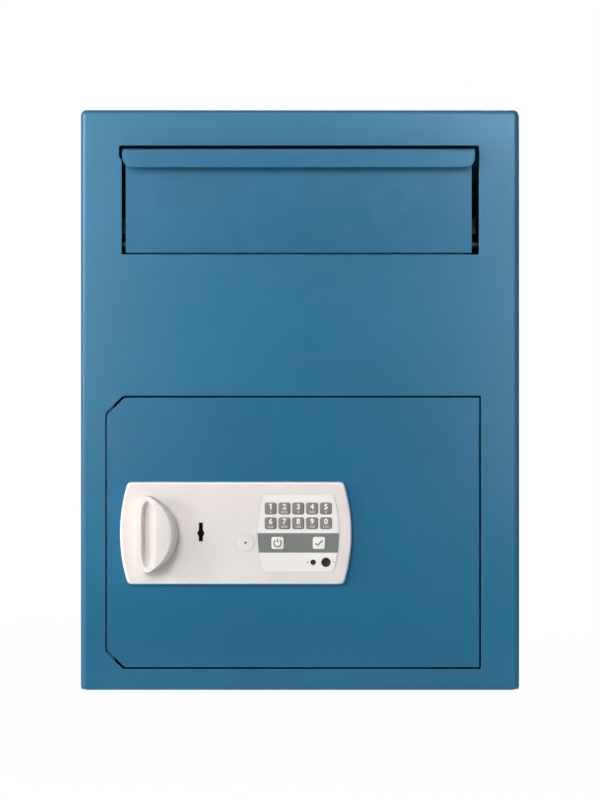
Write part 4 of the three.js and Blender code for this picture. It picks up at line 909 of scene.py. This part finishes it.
def makeFloor():
    material = bpy.data.materials.new("pale floor")
    shading = Shading(material)
    place = shading.node("ShaderNodeTexCoord", output="Object")
    away = shading.node("ShaderNodeVectorMath", {"operation": "LENGTH"}, {0: place}, "Value")
    near, far = stage["allWhite"]
    limits = {"From Min": near, "From Max": far, "To Min": stage["floorGlow"], "To Max": 1.0}
    share = shading.node("ShaderNodeMapRange", None, {"Value": away, **limits})
    share = shading.seenDirectly() * share
    matt = shading.node("ShaderNodeBsdfDiffuse", None, {"Color": stage["floorColour"]})
    glow = shading.node("ShaderNodeEmission", None, {"Strength": 1.0})
    both = shading.node("ShaderNodeMixShader", None, {0: share, 1: matt, 2: glow})
    shading.endIn("ShaderNodeOutputMaterial", both)
    half = stage["floor"] / 2
    corners = [(-half, -half, 0), (half, -half, 0), (half, half, 0), (-half, half, 0)]
    stageSheet("floor", corners, material)


def makeCard():
    x, front, back, top = card["x"], card["front"], card["back"], card["top"]
    corners = [(x, front, 0), (x, back, 0), (x, back, top), (x, front, top)]
    material = Paint("dark card", baseColor=card["shade"], specular=0.0).material
    made = stageSheet("dark_card", corners, material)
    made.visible_camera = False
    made.visible_diffuse = False
    made.visible_shadow = False


def makeWorld():
    world = bpy.data.worlds.new("studio")
    bpy.context.scene.world = world
    shading = Shading(world)
    seen = {"Value": shading.seenDirectly(), "To Min": stage["world"], "To Max": 1.0}
    strength = shading.node("ShaderNodeMapRange", None, seen)
    white = {"Color": (1, 1, 1, 1), "Strength": strength}
    shading.endIn("ShaderNodeOutputWorld", shading.node("ShaderNodeBackground", None, white))


# Each lamp's place, the point that it faces, width, height and watts. The sheens only show as a
# reflection.
lamps = {
    "key": ((-1.25, -3.0, 1.4), (0, -0.2, 0.3), 1.2, 1.2, 58),
    "left side": ((-2.0, -1.05, 0.45), (-0.2, -0.2, 0.35), 1.0, 0.6, 18.5),
    "left sheen": ((-0.315, -0.80, 0.50), (-0.225, -0.2, 0.50), 0.10, 0.60, 2.6),
    "left bend sheen": ((-1.1, -0.95, 0.85), (-0.225, -0.2, 0.55), 0.7, 0.7, 28),
    "left corner sheen": ((-0.30, -0.80, 0.71), (-0.225, -0.2, 0.60), 0.16, 0.12, 0.35),
    "right sheen": ((0.295, -0.80, 0.53), (0.225, -0.2, 0.53), 0.06, 0.70, 2.5),
    "top sheen": ((0.11, -0.80, 0.69), (0, -0.2, 0.60), 0.62, 0.07, 1.8),
    "top bend sheen": ((0.0, -0.95, 1.3), (0, -0.2, 0.6), 0.9, 0.4, 6),
    "corner sheen": ((0.30, -0.80, 0.71), (0.225, -0.2, 0.60), 0.16, 0.12, 1.8),
    "floor sheen": ((0.0, -0.32, 0.006), (0, -0.2, 0.006), 0.5, 0.012, 0.05),
    "right side": ((1.9, 1.9, 1.1), (0.2, 0, 0.35), 1.2, 1.2, 46),
    "back": ((0.6, 2.6, 1.9), (0, 0.2, 0.3), 1.6, 1.6, 34),
}


def makeLamps():
    for name, (place, aim, width, height, watts) in lamps.items():
        data = bpy.data.lights.new(name, "AREA")
        data.shape = "RECTANGLE"
        data.size, data.size_y = width, height
        data.energy = watts
        lamp = linked(name, data)
        lamp.location = place
        x, y, z = np.subtract(aim, place)
        lamp.rotation_euler = (pi / 2 + atan2(z, np.hypot(x, y)), 0, atan2(y, x) - pi / 2)
        lamp.visible_camera = False
        lamp.visible_diffuse = "sheen" not in name


def makeCamera():
    data = bpy.data.cameras.new("camera")
    data.sensor_width = stage["sensor"]
    data.lens = stage["sensor"] * stage["distance"] / stage["frameHeight"]
    camera = linked("camera", data)
    camera.location = (0.0, stage["front"] - stage["distance"], stage["eye"])
    camera.rotation_euler = (pi / 2, 0, 0)
    bpy.context.scene.camera = camera


makeFloor()
makeCard()
makeWorld()
makeLamps()
makeCamera()
bpy.context.scene.view_settings.view_transform = "Standard"
print("stage set")
